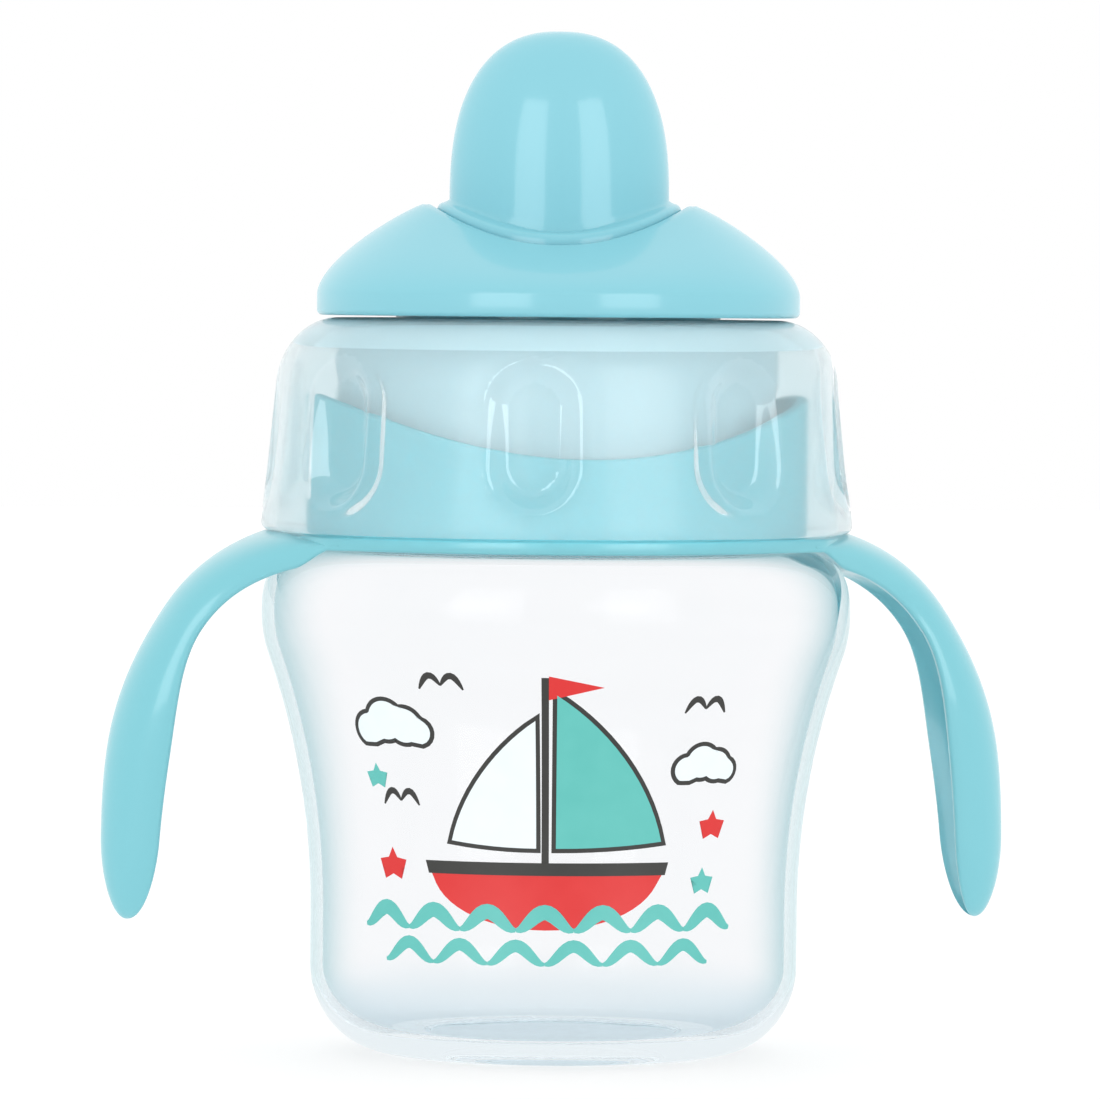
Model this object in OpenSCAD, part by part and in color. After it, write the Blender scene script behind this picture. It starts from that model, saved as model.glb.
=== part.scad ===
// Two-handled sippy cup with a screw collar, a soft spout and a pull-off spout cap.
// Millimetres, +Z up, origin at the centre of the foot, handles along X, drinking side towards -Y.

/* [Bottle] */
// Radius at which the rounded base meets the table
foot_r = 21; // [19.5:0.1:23]
// Radius of the narrow grip above the base
waist_r = 31.1; // [29:0.1:33]
// Largest radius of the bottle
hip_r = 37.6; // [36:0.1:39]
// Height of the rounded base corner
base_corner_h = 11.2; // [9:0.1:14]
// Height at which the waist starts to widen
flare_start_z = 18; // [15:0.5:24]
// Height of the largest radius
hip_z = 56; // [50:0.5:62]
// Radius of the arc that ends the flare
hip_arc_r = 16.7; // [12:0.1:20]
// Rise from the largest radius to the top of the shoulder
shoulder_h = 8.6; // [8:0.1:10]
// Width of the shoulder, from the largest radius in to the neck
shoulder_w = 12.7; // [12.4:0.1:13.3]
// Height of the neck above the shoulder
neck_h = 21.4; // [20:0.1:24]
// Wall thickness of the bottle
bottle_wall = 1.6; // [1.2:0.1:2.2]
// Thickness of the bottle's floor, with the foot recess
floor_h = 3; // [2.6:0.1:4]
// Width of the foot ring
foot_ring_w = 5; // [4:0.5:7]
// Depth of the recess inside the foot ring
foot_recess_h = 1.2; // [0.6:0.1:1.4]

/* [Screw thread] */
// Rise of the thread in one turn
thread_pitch = 4.5; // [4.2:0.1:5]
// Number of turns
thread_turns = 1.5; // [1.25:0.25:1.75]
// Height of the thread above the neck
thread_depth = 1.4; // [1:0.1:1.5]
// Width of the thread at its root
thread_root_w = 1.9; // [1.5:0.1:2]

/* [Screw collar] */
// How far the collar's lower edge stands out past the bottle's largest radius
collar_overhang = 0.1; // [0:0.05:1]
// Outward slope of the collar's side, degrees
collar_draft = 5.6; // [4:0.1:7]
// Width of the rounded shoulder
collar_round_w = 8; // [6:0.1:10]
// Height of the rounded shoulder
collar_round_h = 9.5; // [7.5:0.1:10.5]
// Wall thickness of the collar's bell
collar_wall = 1.8; // [1.4:0.1:2]
// Wall thickness of the threaded sleeve
sleeve_wall = 1.4; // [1:0.1:1.6]
// Thickness of the flange on top of the collar
collar_flange_t = 1.7; // [1.4:0.1:2.4]
// Number of grip hollows
grip_count = 8; // [4:1:10]
// Width of a grip hollow
grip_w = 12.5; // [9:0.5:14]
// Height of a grip hollow
grip_h = 19.6; // [16:0.1:20]
// Depth of the grip hollows below the collar's rounded shoulder
grip_depth = 1.55; // [1:0.05:1.7]
// Turn of the first grip hollow from the drinking side, degrees
grip_turn = -12.7; // [-22:0.1:22]

/* [Handle frame] */
// How far the ring under the collar stands out past the wavy skirt
ring_flange_w = 2.4; // [1.5:0.1:3]
// Thickness of the ring
ring_t = 1.3; // [1:0.1:1.6]
// Gap between the wavy skirt and the backs of the grip hollows
skirt_gap = 1; // [0.6:0.1:2]
// Thickness of the wavy skirt
skirt_t = 1.6; // [1.2:0.1:2]
// Height of the skirt above the ring at its low points
skirt_low_h = 10.1; // [6:0.1:12]
// Rise of the wave from its low to its high points
skirt_wave_h = 7.7; // [4:0.1:8.5]
// Distance of the handle's middle line from the cup's axis
handle_reach = 54.7; // [51:0.1:58]
// Height of the handle's tip
handle_tip_z = 17; // [14:0.1:24]
// Width of the handle at its middle
handle_w = 16.4; // [12:0.1:20]
// Width of the handle at its root on the ring
handle_root_w = 39; // [30:1:44]
// Thickness of the handle at its root
handle_root_t = 4.8; // [4:0.1:6]
// Thickness of the handle at its thickest
handle_t = 7.4; // [6:0.1:8.5]
// Depth of the hollow along the inside of the handle
handle_hollow = 4.2; // [2:0.1:4.6]

/* [Lid] */
// Radius of the lid's lower edge
lid_r = 30.8; // [29.5:0.1:31.5]
// Height of the straight lower edge
lid_lip_h = 2.7; // [1.5:0.1:4]
// Rise of the opening's edge above the straight lower edge, on average
lid_rise = 8.9; // [7:0.1:12]
// Half of the difference between the high and the low points of the opening's edge
lid_wave = 2.6; // [0:0.1:2.7]
// Wall thickness of the lid
lid_wall = 1.7; // [1.4:0.1:2.2]
// Outside radius of the hub that holds the lid in the collar
hub_r = 20.7; // [19.8:0.1:22]
// Wall thickness of the hub
hub_wall = 1.7; // [1.2:0.1:2.2]
// Turn of the lid, spout and cap from the drinking side, degrees
lid_turn = -8; // [-45:1:45]

/* [Spout cap] */
// Half of the cap's width
cap_half_w = 14; // [13:0.1:14.4]
// Half of the cap's depth
cap_half_d = 12; // [11:0.1:14]
// Height of the cap above the lid's opening edge, on average
cap_h = 24.7; // [22:0.1:34]
// Wall thickness of the cap
cap_wall = 1.4; // [1:0.1:1.6]
// Outside radius of the cap's plug in the lid
plug_r = 15.6; // [15.2:0.1:16]
// Half of the difference between the high and the low points of the cap's bead
bead_wave = 2; // [0:0.1:2.4]
// Height of the cap's bead above the lid's opening edge
bead_h = 0.9; // [0.6:0.1:1.4]

/* [Spout and valves] */
// Half of the spout's width
spout_half_w = 10.8; // [9.5:0.1:11.4]
// Half of the spout's depth
spout_half_d = 8.4; // [7.6:0.1:9.4]
// Height of the spout above its flange
spout_h = 32; // [24:0.5:32]
// Wall thickness of the soft spout
spout_wall = 1.5; // [1.2:0.1:2]
// Thickness of the spout's flange
spout_flange_t = 1.2; // [1:0.1:2]
// Height of the clamped rim on the spout's flange
spout_rim_h = 1.4; // [1.3:0.1:2]
// Length of the slit in the spout's tip
slit_len = 8; // [4:0.5:9]
// Thickness of the valve plate
plate_t = 1.5; // [1.2:0.1:2.2]
// Outside radius of the stub that carries the flow valve
stub_r = 8.2; // [7.6:0.1:8.6]
// Length of the stub below the plate
stub_h = 5.9; // [4:0.1:8]
// Distance of the vent valve from the axis
vent_dist = 15; // [14.6:0.1:15.4]
// Thickness of the seal on the bottle's rim
seal_t = 1.2; // [0.8:0.1:2]

/* [Clearances] */
// Gap between pieces that turn or lift past each other
move_gap = 0.3; // [0.2:0.05:0.35]
// Gap between a piece and the seat it rests on
seat_gap = 0.2; // [0.1:0.05:0.3]
// Radial gap between the two threads and their walls
thread_gap = 0.4; // [0.3:0.05:0.5]
// Gap between a soft piece and what it is stretched over
soft_gap = 0.1; // [0.05:0.05:0.2]

/* [Hidden] */
$fn = 96;

// How far one solid reaches into another where they are joined
joined = 0.5;
// How far a cutting shape reaches past what it cuts
past = 1;
// How far a faceted wall stands off the round wall it joins
facet_off = 0.4;
// Points on a long and on a short arc of an outline
arc_steps = 10;
short_arc_steps = 4;

// Colours of the pieces
clear_plastic = [0.93, 0.95, 0.96, 0.4];
frosted_plastic = [0.82, 0.9, 0.92, 0.6];
aqua_plastic = [0.6, 0.85, 0.89];
white_plastic = [0.95, 0.96, 0.96];
silicone = [0.9, 0.93, 0.94, 0.8];

// Bottle: flare arc tangent to the waist and to the hip arc
neck_r = hip_r - shoulder_w;
seat_w = 3.7;
seat_r = neck_r + seat_w;
shoulder_z = hip_z + shoulder_h;
rim_z = shoulder_z + neck_h;
flare_out = hip_r - waist_r;
flare_rise = hip_z - flare_start_z;
arc_sum = (flare_out * flare_out + flare_rise * flare_rise) / (2 * flare_out);
flare_arc_r = arc_sum - hip_arc_r;
join_angle = asin(flare_rise / arc_sum);
neck_in_r = neck_r - bottle_wall;
rim_round = 0.5;
shoulder_start_angle = 8;
// Power of the shoulder's squared oval; 2 would make it an ellipse
shoulder_power = 2.6;

// Thread: the collar's thread lies half a pitch above the bottle's
thread_crest_r = neck_r + thread_depth;
thread_crest_part = 0.6;
thread_crest_w = thread_crest_part * thread_root_w;
sleeve_r = thread_crest_r + thread_gap;
nut_gap = thread_gap + soft_gap;
nut_crest_r = neck_r + nut_gap;
nut_root_w = thread_pitch - thread_root_w - 2 * nut_gap;
nut_crest_w = thread_crest_part * nut_root_w;
thread_start_h = 6;
thread_z = shoulder_z + thread_start_h;
thread_steps = 40;
// Share of the thread over which each end fades, and how deep the ends lie in the wall
thread_fade_part = 0.12;
thread_sunk = 0.15;

// Neck bead that keeps the handle ring central
neck_bead_r = thread_crest_r;
neck_bead_h = ring_t + seat_gap + 2 * move_gap;

// Ring and skirt of the handle frame
ring_z = shoulder_z + seat_gap;
ring_top = ring_z + ring_t;
ring_in_r = neck_bead_r + thread_gap;

// Stack clamped on the bottle's rim
seal_z = rim_z + seat_gap;
plate_z = seal_z + seal_t;
flange_z = plate_z + plate_t;
flange_top = flange_z + spout_flange_t;
spout_rim_top = flange_top + spout_rim_h;
stack_r = sleeve_r - thread_gap;

// Collar
collar_z = ring_top + move_gap;
collar_flange_z = spout_rim_top + move_gap;
collar_top = collar_flange_z + collar_flange_t;
collar_opening_r = hub_r + move_gap;
sleeve_out_r = sleeve_r + sleeve_wall;
collar_round_z = collar_top - collar_round_h;
draft_start = atan(tan(collar_draft) * collar_round_h / collar_round_w);
collar_lip = 1;
collar_lip_in = 0.3 * collar_lip;
collar_r = hip_r + collar_overhang;
collar_side_z = collar_round_z + collar_round_h * sin(draft_start);
collar_side_r = collar_r - (collar_side_z - collar_z - collar_lip) * tan(collar_draft);
collar_round_r = collar_side_r - collar_round_w * cos(draft_start);
grip_low_h = 2.9;
grip_z = collar_z + grip_low_h + grip_h / 2;
grip_wall = 1.5;
grip_floor_r = collar_side_r - grip_depth;
grip_back_r = grip_floor_r - grip_wall;

// Skirt inside the backs of the grips, and the ring that carries it
skirt_r = grip_back_r - skirt_gap;
skirt_edge = 0.4;
skirt_steps = 72;
ring_r = skirt_r + ring_flange_w;

// Handles: shares of the length, from the root at 0 to the tip at 1, where the shape changes
root_end_part = 0.1;
hollow_start_part = 0.12;
elbow_end_part = 0.42;
narrow_start_part = 0.6;
thick_end_part = 0.74;
thin_start_part = 0.75;
tip_start_part = 0.88;
// Loss of width and of thickness at the tip
tip_narrow_part = 0.35;
tip_thin_part = 0.3;
// Share of the thickness and of the width that the hollow may take
hollow_depth_part = 0.58;
hollow_w_part = 0.86;
// Powers that shape the section: a low one for a square edge at the root, a high one for steep hollow walls
root_round_power = 0.4;
back_round_power = 0.9;
hollow_power = 5;
handle_start_t = ring_t;
handle_steps = 20;
tip_steps = 7;
hollow_points = 8;
back_points = 12;
// Angle from the handle where the web beside its root leaves the ring, and where it ends on the handle
web_angle = 50;
web_end_part = 0.1;
// Control points of the handle's middle line, as distance from the axis and height
elbow_in = 4.4;
elbow_drop = 1.5 * ring_t;
bulge_out = 0.3;
bulge_part = 0.64;
handle_path = [
    [skirt_r - skirt_t, ring_z + ring_t / 2],
    [handle_reach - elbow_in, ring_z - elbow_drop],
    [handle_reach + bulge_out, bulge_part * ring_z + (1 - bulge_part) * handle_tip_z],
    [handle_reach, handle_tip_z]
];
shoulder_gap = 0.4;

// Lid
lip_z = collar_top + move_gap;
lip_top = lip_z + lid_lip_h;
lip_edge = 0.7;
rim_mid_z = lip_top + lid_rise;
socket_r = plug_r + move_gap + soft_gap / 2;
rim_w = 1.5;
rim_out_r = socket_r + rim_w;
ledge_h = 1.5;
ledge_z = lip_top + ledge_h;
ledge_w = 2;
ledge_r = plug_r - ledge_w;
ledge_t = 1.5;
tube_wall = 1.4;
tube_out_r = socket_r + tube_wall;
tube_foot_z = ledge_z + 2;
hub_z = flange_top + seat_gap + move_gap;
hub_bead_w = 0.5;
hub_bead_r = collar_opening_r + hub_bead_w;
hub_bead_top = collar_flange_z - move_gap;
// Control points of the lid's outside and inside, as shares of its width and rise
crown_w_part = 0.27;
crown_h_part = 0.88;
side_h_part = 0.36;
inner_w_part = 0.24;
inner_h_part = 0.22;
side_lean = 0.2;
crown_wall = 1.2 * lid_wall;
lid_steps = 72;
lid_points = 10;

// Spout cap
cap_z = ledge_z + move_gap;
cap_top = rim_mid_z + cap_h;
cap_foot_drop = 0.4;
cap_curve_z = rim_mid_z + lid_wave + bead_h - cap_foot_drop;
cap_curve_h = cap_top - cap_curve_z;
bead_w = 1.2;
bead_round = 0.8;
bead_fold = 0.05;
cap_steps = 54;
cap_rings = 12;
// Roundness of the domes, the angle of their last ring and how the rings crowd towards the foot
shape_up = 2.5;
shape_out = 2.4;
dome_end = 84;
dome_crowd = 1.2;

// Spout and valves
spout_top = flange_top + spout_h;
spout_rim_gap = 0.7;
spout_rim_r = hub_bead_r + spout_rim_gap;
spout_steps = 48;
spout_rings = 10;
slit_w = 0.4;
stub_wall = 1.4;
valve_wall = 1.3;
valve_floor = 1;
valve_gap = 0.9;
vent_stem_r = 1.6;
vent_disc_r = 4.4;
vent_bulb_r = 2.4;
vent_bulb_h = 1.3;
vent_disc_t = 0.9;
vent_flat_part = 0.6;
vent_bulb_gap = 0.8;
air_hole_r = 0.7;
air_hole_dist = 3;
air_hole_count = 4;
air_hole_turn = 45;
seal_inset = 0.3;

// Points of an arc of an ellipse around c, from angle a0 to a1
function arc(c, rx, ry, a0, a1, n) =
    [for (i = [0:n]) let (a = a0 + (a1 - a0) * i / n) [c[0] + rx * cos(a), c[1] + ry * sin(a)]];

// Arc up to the top of a squared oval
function square_arc(c, rx, ry, a0, n) = [
    for (i = [0:n])
        let (a = a0 + (90 - a0) * i / n)
            [c[0] + rx * pow(cos(a), 2 / shoulder_power), c[1] + ry * pow(sin(a), 2 / shoulder_power)]
];

function circle_arc(c, r, a0, a1, n) = arc(c, r, r, a0, a1, n);

// Point and direction of a cubic curve
function curve(p, t) =
    pow(1 - t, 3) * p[0] + 3 * pow(1 - t, 2) * t * p[1] + 3 * (1 - t) * t * t * p[2] + t * t * t * p[3];
function curve_dir(p, t) =
    3 * pow(1 - t, 2) * (p[1] - p[0]) + 6 * (1 - t) * t * (p[2] - p[1]) + 3 * t * t * (p[3] - p[2]);

// Smooth step from 0 to 1, and the same between two values of t
function ease(x) = let (c = max(0, min(1, x))) c * c * (3 - 2 * c);
function ease_from(t, start, end) = ease((t - start) / (end - start));

function flat(lists) = [for (l = lists) for (p = l) p];
function flipped(list) = [for (i = [len(list) - 1:-1:0]) list[i]];

// Outline of the bottle's body moved inwards by inset, from its foot to the shoulder
function body_outline(inset, bottom) = flat([
    arc([foot_r, base_corner_h], waist_r - foot_r - inset, base_corner_h - bottom, -90, 0, arc_steps),
    circle_arc([waist_r + flare_arc_r, flare_start_z], flare_arc_r + inset, 180, 180 - join_angle, arc_steps),
    circle_arc([hip_r - hip_arc_r, hip_z], hip_arc_r - inset, -join_angle, 0, short_arc_steps),
    square_arc([seat_r, hip_z], hip_r - seat_r - inset, shoulder_h - inset, shoulder_start_angle, arc_steps)
]);

// Faces of a band between closed rings of n points each
function band_faces(rings, n) = flat([
    for (i = [0:rings - 2]) for (j = [0:n - 1])
        let (k = (j + 1) % n) [
            [i * n + j, (i + 1) * n + j, i * n + k],
            [i * n + k, (i + 1) * n + j, (i + 1) * n + k]
        ]
]);

// Solid through a list of rings, each closed to a point at its middle at both ends
module skin(rings, first, last) {
    n = len(rings[0]);
    m = len(rings) * n;
    points = concat(flat(rings), [first, last]);
    ends = flat([
        for (j = [0:n - 1])
            let (k = (j + 1) % n) [
                [m, j, k],
                [m + 1, m - n + k, m - n + j]
            ]
    ]);
    polyhedron(points, concat(band_faces(len(rings), n), ends), convexity = 6);
}

// Solid ring through sections placed around the axis, each going round from the inside by its top
module ring_skin(sections) {
    n = len(sections[0]);
    total = len(sections) * n;
    faces = band_faces(len(sections) + 1, n);
    polyhedron(flat(sections), [for (f = faces) [for (v = f) v % total]], convexity = 6);
}

// Closed shell: an outside and an inside, each ending in a point on top, joined along the bottom
module shell(outside, outside_top, inside, inside_top) {
    n = len(outside[0]);
    o = len(outside);
    m = len(inside);
    points = concat(flat(outside), flat(inside), [outside_top, inside_top]);
    start = o * n;
    top_out = (o + m) * n;
    top_in = top_out + 1;
    faces = concat(
        band_faces(o, n),
        [for (f = band_faces(m, n)) [f[2] + start, f[1] + start, f[0] + start]],
        flat([
            for (j = [0:n - 1])
                let (k = (j + 1) % n) [
                    [top_out, (o - 1) * n + k, (o - 1) * n + j],
                    [top_in, start + (m - 1) * n + j, start + (m - 1) * n + k],
                    [j, k, start + j],
                    [k, start + k, start + j]
                ]
        ])
    );
    polyhedron(points, faces, convexity = 6);
}

// Section given as radius and height, turned to angle a
function turned(section, a) = [for (p = section) [p[0] * cos(a), p[0] * sin(a), p[1]]];

// Helical thread from root radius to crest radius, fading into the wall at both ends
function thread_section(root, crest, root_w, crest_w, z) =
    let (half = crest > root ? root_w / 2 : -root_w / 2, top = half * crest_w / root_w)
    [[root, z + half], [crest, z + top], [crest, z - top], [root, z - half]];

module helix(wall, crest, root_w, crest_w, z0) {
    side = sign(crest - wall);
    root = wall - side * joined;
    sunk = wall - side * thread_sunk;
    steps = round(thread_steps * thread_turns);
    function grown(s) = ease(min(s, 1 - s) / thread_fade_part);
    sections = [
        for (i = [0:steps])
            let (s = i / steps, a = 360 * thread_turns * s)
                turned(
                    thread_section(
                        root,
                        sunk + (crest - sunk) * grown(s),
                        root_w,
                        crest_w,
                        z0 + thread_pitch * a / 360
                    ),
                    a
                )
    ];
    middle_r = wall - side * joined / 2;
    skin(
        sections,
        turned([[middle_r, z0]], 0)[0],
        turned([[middle_r, z0 + thread_pitch * thread_turns]], 360 * thread_turns)[0]
    );
}

// Solid of the bottle's outside, grown by clearance
module body_envelope(clearance) {
    rotate_extrude()
        polygon(concat(
            [[0, -clearance]],
            body_outline(-clearance, -clearance),
            [[0, shoulder_z + clearance]]
        ));
}

module bottle() {
    inside = flipped(body_outline(bottle_wall, floor_h));
    foot_in_r = foot_r - foot_ring_w;
    color(clear_plastic) {
        rotate_extrude()
            polygon(concat(
                [[0, foot_recess_h], [foot_in_r - foot_recess_h, foot_recess_h], [foot_in_r, 0]],
                body_outline(0, 0),
                [[neck_bead_r, shoulder_z], [neck_bead_r, shoulder_z + neck_bead_h]],
                [[neck_r, shoulder_z + neck_bead_h + thread_depth / 2], [neck_r, rim_z - rim_round]],
                [[neck_r - rim_round, rim_z], [neck_in_r, rim_z], [neck_in_r, shoulder_z - bottle_wall]],
                inside,
                [[0, floor_h]]
            ));
        helix(neck_r, thread_crest_r, thread_root_w, thread_crest_w, thread_z);
    }
}

// Outline of the collar's bell moved inwards by inset, and its rounded lower lip
function bell_outline(inset) =
    let (w = collar_round_w - inset, h = collar_round_h - inset)
    concat(
        [[collar_r - inset, collar_z + collar_lip]],
        arc([collar_round_r, collar_round_z], w, h, draft_start, 90, arc_steps)
    );
collar_lip_points = [
    [collar_r - collar_lip, collar_z],
    [collar_r - collar_lip_in, collar_z + collar_lip_in]
];

module bell_solid() {
    rotate_extrude()
        polygon(concat(
            [[0, collar_z]],
            collar_lip_points,
            bell_outline(0),
            [[0, collar_top]]
        ));
}

// Upright pill shape pushed out from the axis, grown by margin
module grip_prism(margin) {
    half = (grip_h - grip_w) / 2;
    translate([0, 0, grip_z])
        rotate([90, 0, 0])
            linear_extrude(collar_r + 2 * past)
                union() {
                    square([grip_w + 2 * margin, 2 * half], center = true);
                    translate([0, half])
                        circle(grip_w / 2 + margin);
                    translate([0, -half])
                        circle(grip_w / 2 + margin);
                }
}

module grips(margin, inner_r) {
    difference() {
        for (i = [0:grip_count - 1])
            rotate([0, 0, grip_turn + i * 360 / grip_count])
                grip_prism(margin);
        translate([0, 0, collar_z - past])
            cylinder(h = collar_top - collar_z + 2 * past, r = inner_r);
    }
}

module collar_shell() {
    inner = flipped(bell_outline(collar_wall));
    rotate_extrude()
        polygon(concat(
            [[collar_r - collar_wall, collar_z]],
            collar_lip_points,
            bell_outline(0),
            [[collar_opening_r, collar_top], [collar_opening_r, collar_flange_z]],
            [[sleeve_r, collar_flange_z], [sleeve_r, collar_z]],
            [[sleeve_out_r, collar_z], [sleeve_out_r, collar_top - collar_wall]],
            inner
        ));
}

module screw_collar() {
    color(frosted_plastic) {
        difference() {
            union() {
                collar_shell();
                intersection() {
                    bell_solid();
                    grips(grip_wall, grip_back_r);
                }
            }
            grips(0, grip_floor_r);
        }
        helix(sleeve_r, nut_crest_r, nut_root_w, nut_crest_w, thread_z + thread_pitch / 2);
    }
}

// Half width and thickness along the handle, from its root at 0 to its tip at 1
function tip_fade(t) =
    let (u = max(0, (t - tip_start_part) / (1 - tip_start_part)))
    sqrt(max(0, 1 - u * u));
function handle_half_w(t) =
    let (wide = handle_w + (handle_root_w - handle_w) * pow(1 - min(1, t / elbow_end_part), 2))
    wide / 2 * (1 - tip_narrow_part * ease_from(t, narrow_start_part, 1));
function handle_thick(t) =
    let (thinned = 1 - tip_thin_part * ease_from(t, thin_start_part, 1))
    handle_start_t
    + (handle_root_t - handle_start_t) * ease_from(t, 0, root_end_part)
    + (handle_t - handle_root_t) * ease_from(t, elbow_end_part, thick_end_part) * thinned;

// Section with a round back and a hollow along the inside, as points across and out
function handle_section(w, t, hollow, power) = concat(
    [
        for (i = [0:back_points])
            let (a = 180 * i / back_points)
                [w * cos(a), t * (pow(sin(a), power) - 1 / 2)]
    ],
    [
        for (i = [0:hollow_points])
            let (u = sin(90 * (2 * i / hollow_points - 1)))
                [w * hollow_w_part * u, -t / 2 + hollow * (1 - pow(abs(u), hollow_power))]
    ]
);

function handle_ring(t, scale_at) =
    let (
        at = curve(handle_path, t),
        dir = curve_dir(handle_path, t),
        size = norm(dir),
        out = [-dir[1] / size, dir[0] / size],
        w = handle_half_w(t) * scale_at,
        thick = handle_thick(t) * scale_at,
        deepest = min(handle_hollow, hollow_depth_part * handle_thick(t)),
        hollow = deepest * scale_at * ease_from(t, hollow_start_part, elbow_end_part),
        power = root_round_power + (back_round_power - root_round_power) * ease_from(t, 0, elbow_end_part)
    )
    [for (p = handle_section(w, thick, hollow, power)) [at[0] + out[0] * p[1], p[0], at[1] + out[1] * p[1]]];

module handle() {
    body = [for (i = [0:handle_steps - 1]) tip_start_part * i / handle_steps];
    end = [for (i = [0:tip_steps]) tip_start_part + (1 - tip_start_part) * sin(dome_end * i / tip_steps)];
    stations = concat(body, end);
    first = curve(handle_path, 0);
    last = curve(handle_path, 1);
    skin(
        [for (t = stations) handle_ring(t, tip_fade(t))],
        [first[0], 0, first[1]],
        [last[0], 0, last[1]]
    );
}

// Web that leads the ring's edge smoothly into both edges of a handle's root
module root_web() {
    side = concat(
        [[ring_r * cos(web_angle), ring_r * sin(web_angle)]],
        [for (t = [0, web_end_part]) [curve(handle_path, t)[0], handle_half_w(t)]]
    );
    linear_extrude(ring_t)
        polygon(concat(side, [for (i = [len(side) - 1:-1:0]) [side[i][0], -side[i][1]]]));
}

module skirt() {
    sections = [
        for (i = [0:skirt_steps - 1])
            let (
                a = 360 * i / skirt_steps,
                top = ring_top + skirt_low_h + skirt_wave_h * (1 + cos(2 * a)) / 2
            )
                turned(
                    [
                        [skirt_r - skirt_t, ring_top - joined],
                        [skirt_r - skirt_t, top],
                        [skirt_r - skirt_edge, top],
                        [skirt_r, top - skirt_edge],
                        [skirt_r, ring_top - joined]
                    ],
                    a
                )
    ];
    ring_skin(sections);
}

module handle_frame() {
    color(aqua_plastic)
        union() {
            difference() {
                union() {
                    handle();
                    rotate([0, 0, 180])
                        handle();
                }
                body_envelope(shoulder_gap);
                translate([0, 0, ring_top])
                    cylinder(h = handle_t * 2, r = collar_r + move_gap);
                translate([0, 0, ring_z - handle_t])
                    cylinder(h = handle_t * 2, r = skirt_r - skirt_t / 2);
            }
            difference() {
                translate([0, 0, ring_z]) {
                    cylinder(h = ring_t, r = ring_r);
                    root_web();
                    rotate([0, 0, 180])
                        root_web();
                }
                translate([0, 0, ring_z - past])
                    cylinder(h = ring_t + 2 * past, r = ring_in_r);
            }
            skirt();
        }
}

// Height of the lid's opening edge at angle a, with its high points at the sides
function rim_at(a) = rim_mid_z + lid_wave * cos(2 * a);

function lid_section(a) =
    let (
        rim = rim_at(a),
        rise = rim - lip_top,
        outer = [
            [lid_r, lip_top],
            [lid_r - side_lean, lip_top + side_h_part * rise],
            [rim_out_r + crown_w_part * (lid_r - rim_out_r), lip_top + crown_h_part * rise],
            [rim_out_r, rim]
        ],
        inner = [
            [tube_out_r + facet_off, rim - crown_wall],
            [tube_out_r + inner_w_part * (lid_r - tube_out_r), lip_top + crown_h_part * rise - crown_wall],
            [lid_r - lid_wall - side_lean, lip_top + inner_h_part * rise],
            [lid_r - lid_wall, lip_top - joined]
        ]
    )
    concat(
        [[lid_r - lid_wall, lip_z], [lid_r - lip_edge, lip_z], [lid_r, lip_z + lip_edge]],
        [for (i = [0:lid_points]) curve(outer, i / lid_points)],
        [
            [socket_r + rim_w / 2, rim - rim_w / 10],
            [socket_r + rim_w / 8, rim - rim_w / 3],
            [socket_r - joined, rim - rim_w],
            [socket_r - joined, tube_foot_z],
            [tube_out_r + facet_off, tube_foot_z]
        ],
        [for (i = [0:lid_points - 2]) curve(inner, i / (lid_points - 2))]
    );

module lid() {
    color(aqua_plastic)
        rotate([0, 0, lid_turn])
            difference() {
                union() {
                    ring_skin([
                        for (i = [0:lid_steps - 1])
                            let (a = 360 * i / lid_steps) turned(flipped(lid_section(a)), a)
                    ]);
                    rotate_extrude()
                        polygon([
                            [ledge_r, ledge_z - ledge_t],
                            [hub_r - hub_wall, ledge_z - ledge_t],
                            [hub_r - hub_wall, hub_z],
                            [hub_r, hub_z],
                            [hub_bead_r, (hub_z + hub_bead_top) / 2],
                            [hub_bead_r, hub_bead_top],
                            [hub_r, hub_bead_top],
                            [hub_r, ledge_z],
                            [tube_out_r, ledge_z],
                            [tube_out_r, tube_foot_z + joined],
                            [ledge_r, tube_foot_z + joined]
                        ]);
                }
                translate([0, 0, ledge_z])
                    cylinder(h = rim_mid_z, r = socket_r);
            }
}

// Oval radius at angle a
function oval(w, d, a) = w * d / sqrt(pow(d * cos(a), 2) + pow(w * sin(a), 2));

// Rounded dome: how far up and how far out at angle b of its side
function dome_up(b) = pow(sin(b), 2 / shape_up);
function dome_out(b) = pow(cos(b), 2 / shape_out);
function dome_angles(n) = [for (i = [1:n]) dome_end * pow(i / n, dome_crowd)];

function loop(steps, f) = [for (i = [0:steps - 1]) f(360 * i / steps)];

// Ring of the cap's outside below its dome, at a radius and a depth under the bead's top
function bead_top_at(a) = rim_mid_z + bead_h + bead_wave * cos(2 * a);
function bead_ring(r, depth) =
    loop(cap_steps, function (a) [r * cos(a), r * sin(a), bead_top_at(a) - depth]);
function dome_ring(b, inset) =
    loop(
        cap_steps,
        function (a)
            let (
                r = (oval(cap_half_w, cap_half_d, a) - inset) * dome_out(b),
                full = cap_curve_z + (cap_curve_h - inset) * dome_up(b)
            )
            [r * cos(a), r * sin(a), full]
    );
function wall_ring(inset, f) =
    loop(
        cap_steps,
        function (a)
            let (r = oval(cap_half_w, cap_half_d, a) - inset) [r * cos(a), r * sin(a), f(a)]
    );
function flat_ring(r, z) = loop(cap_steps, function (a) [r * cos(a), r * sin(a), z]);

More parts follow.
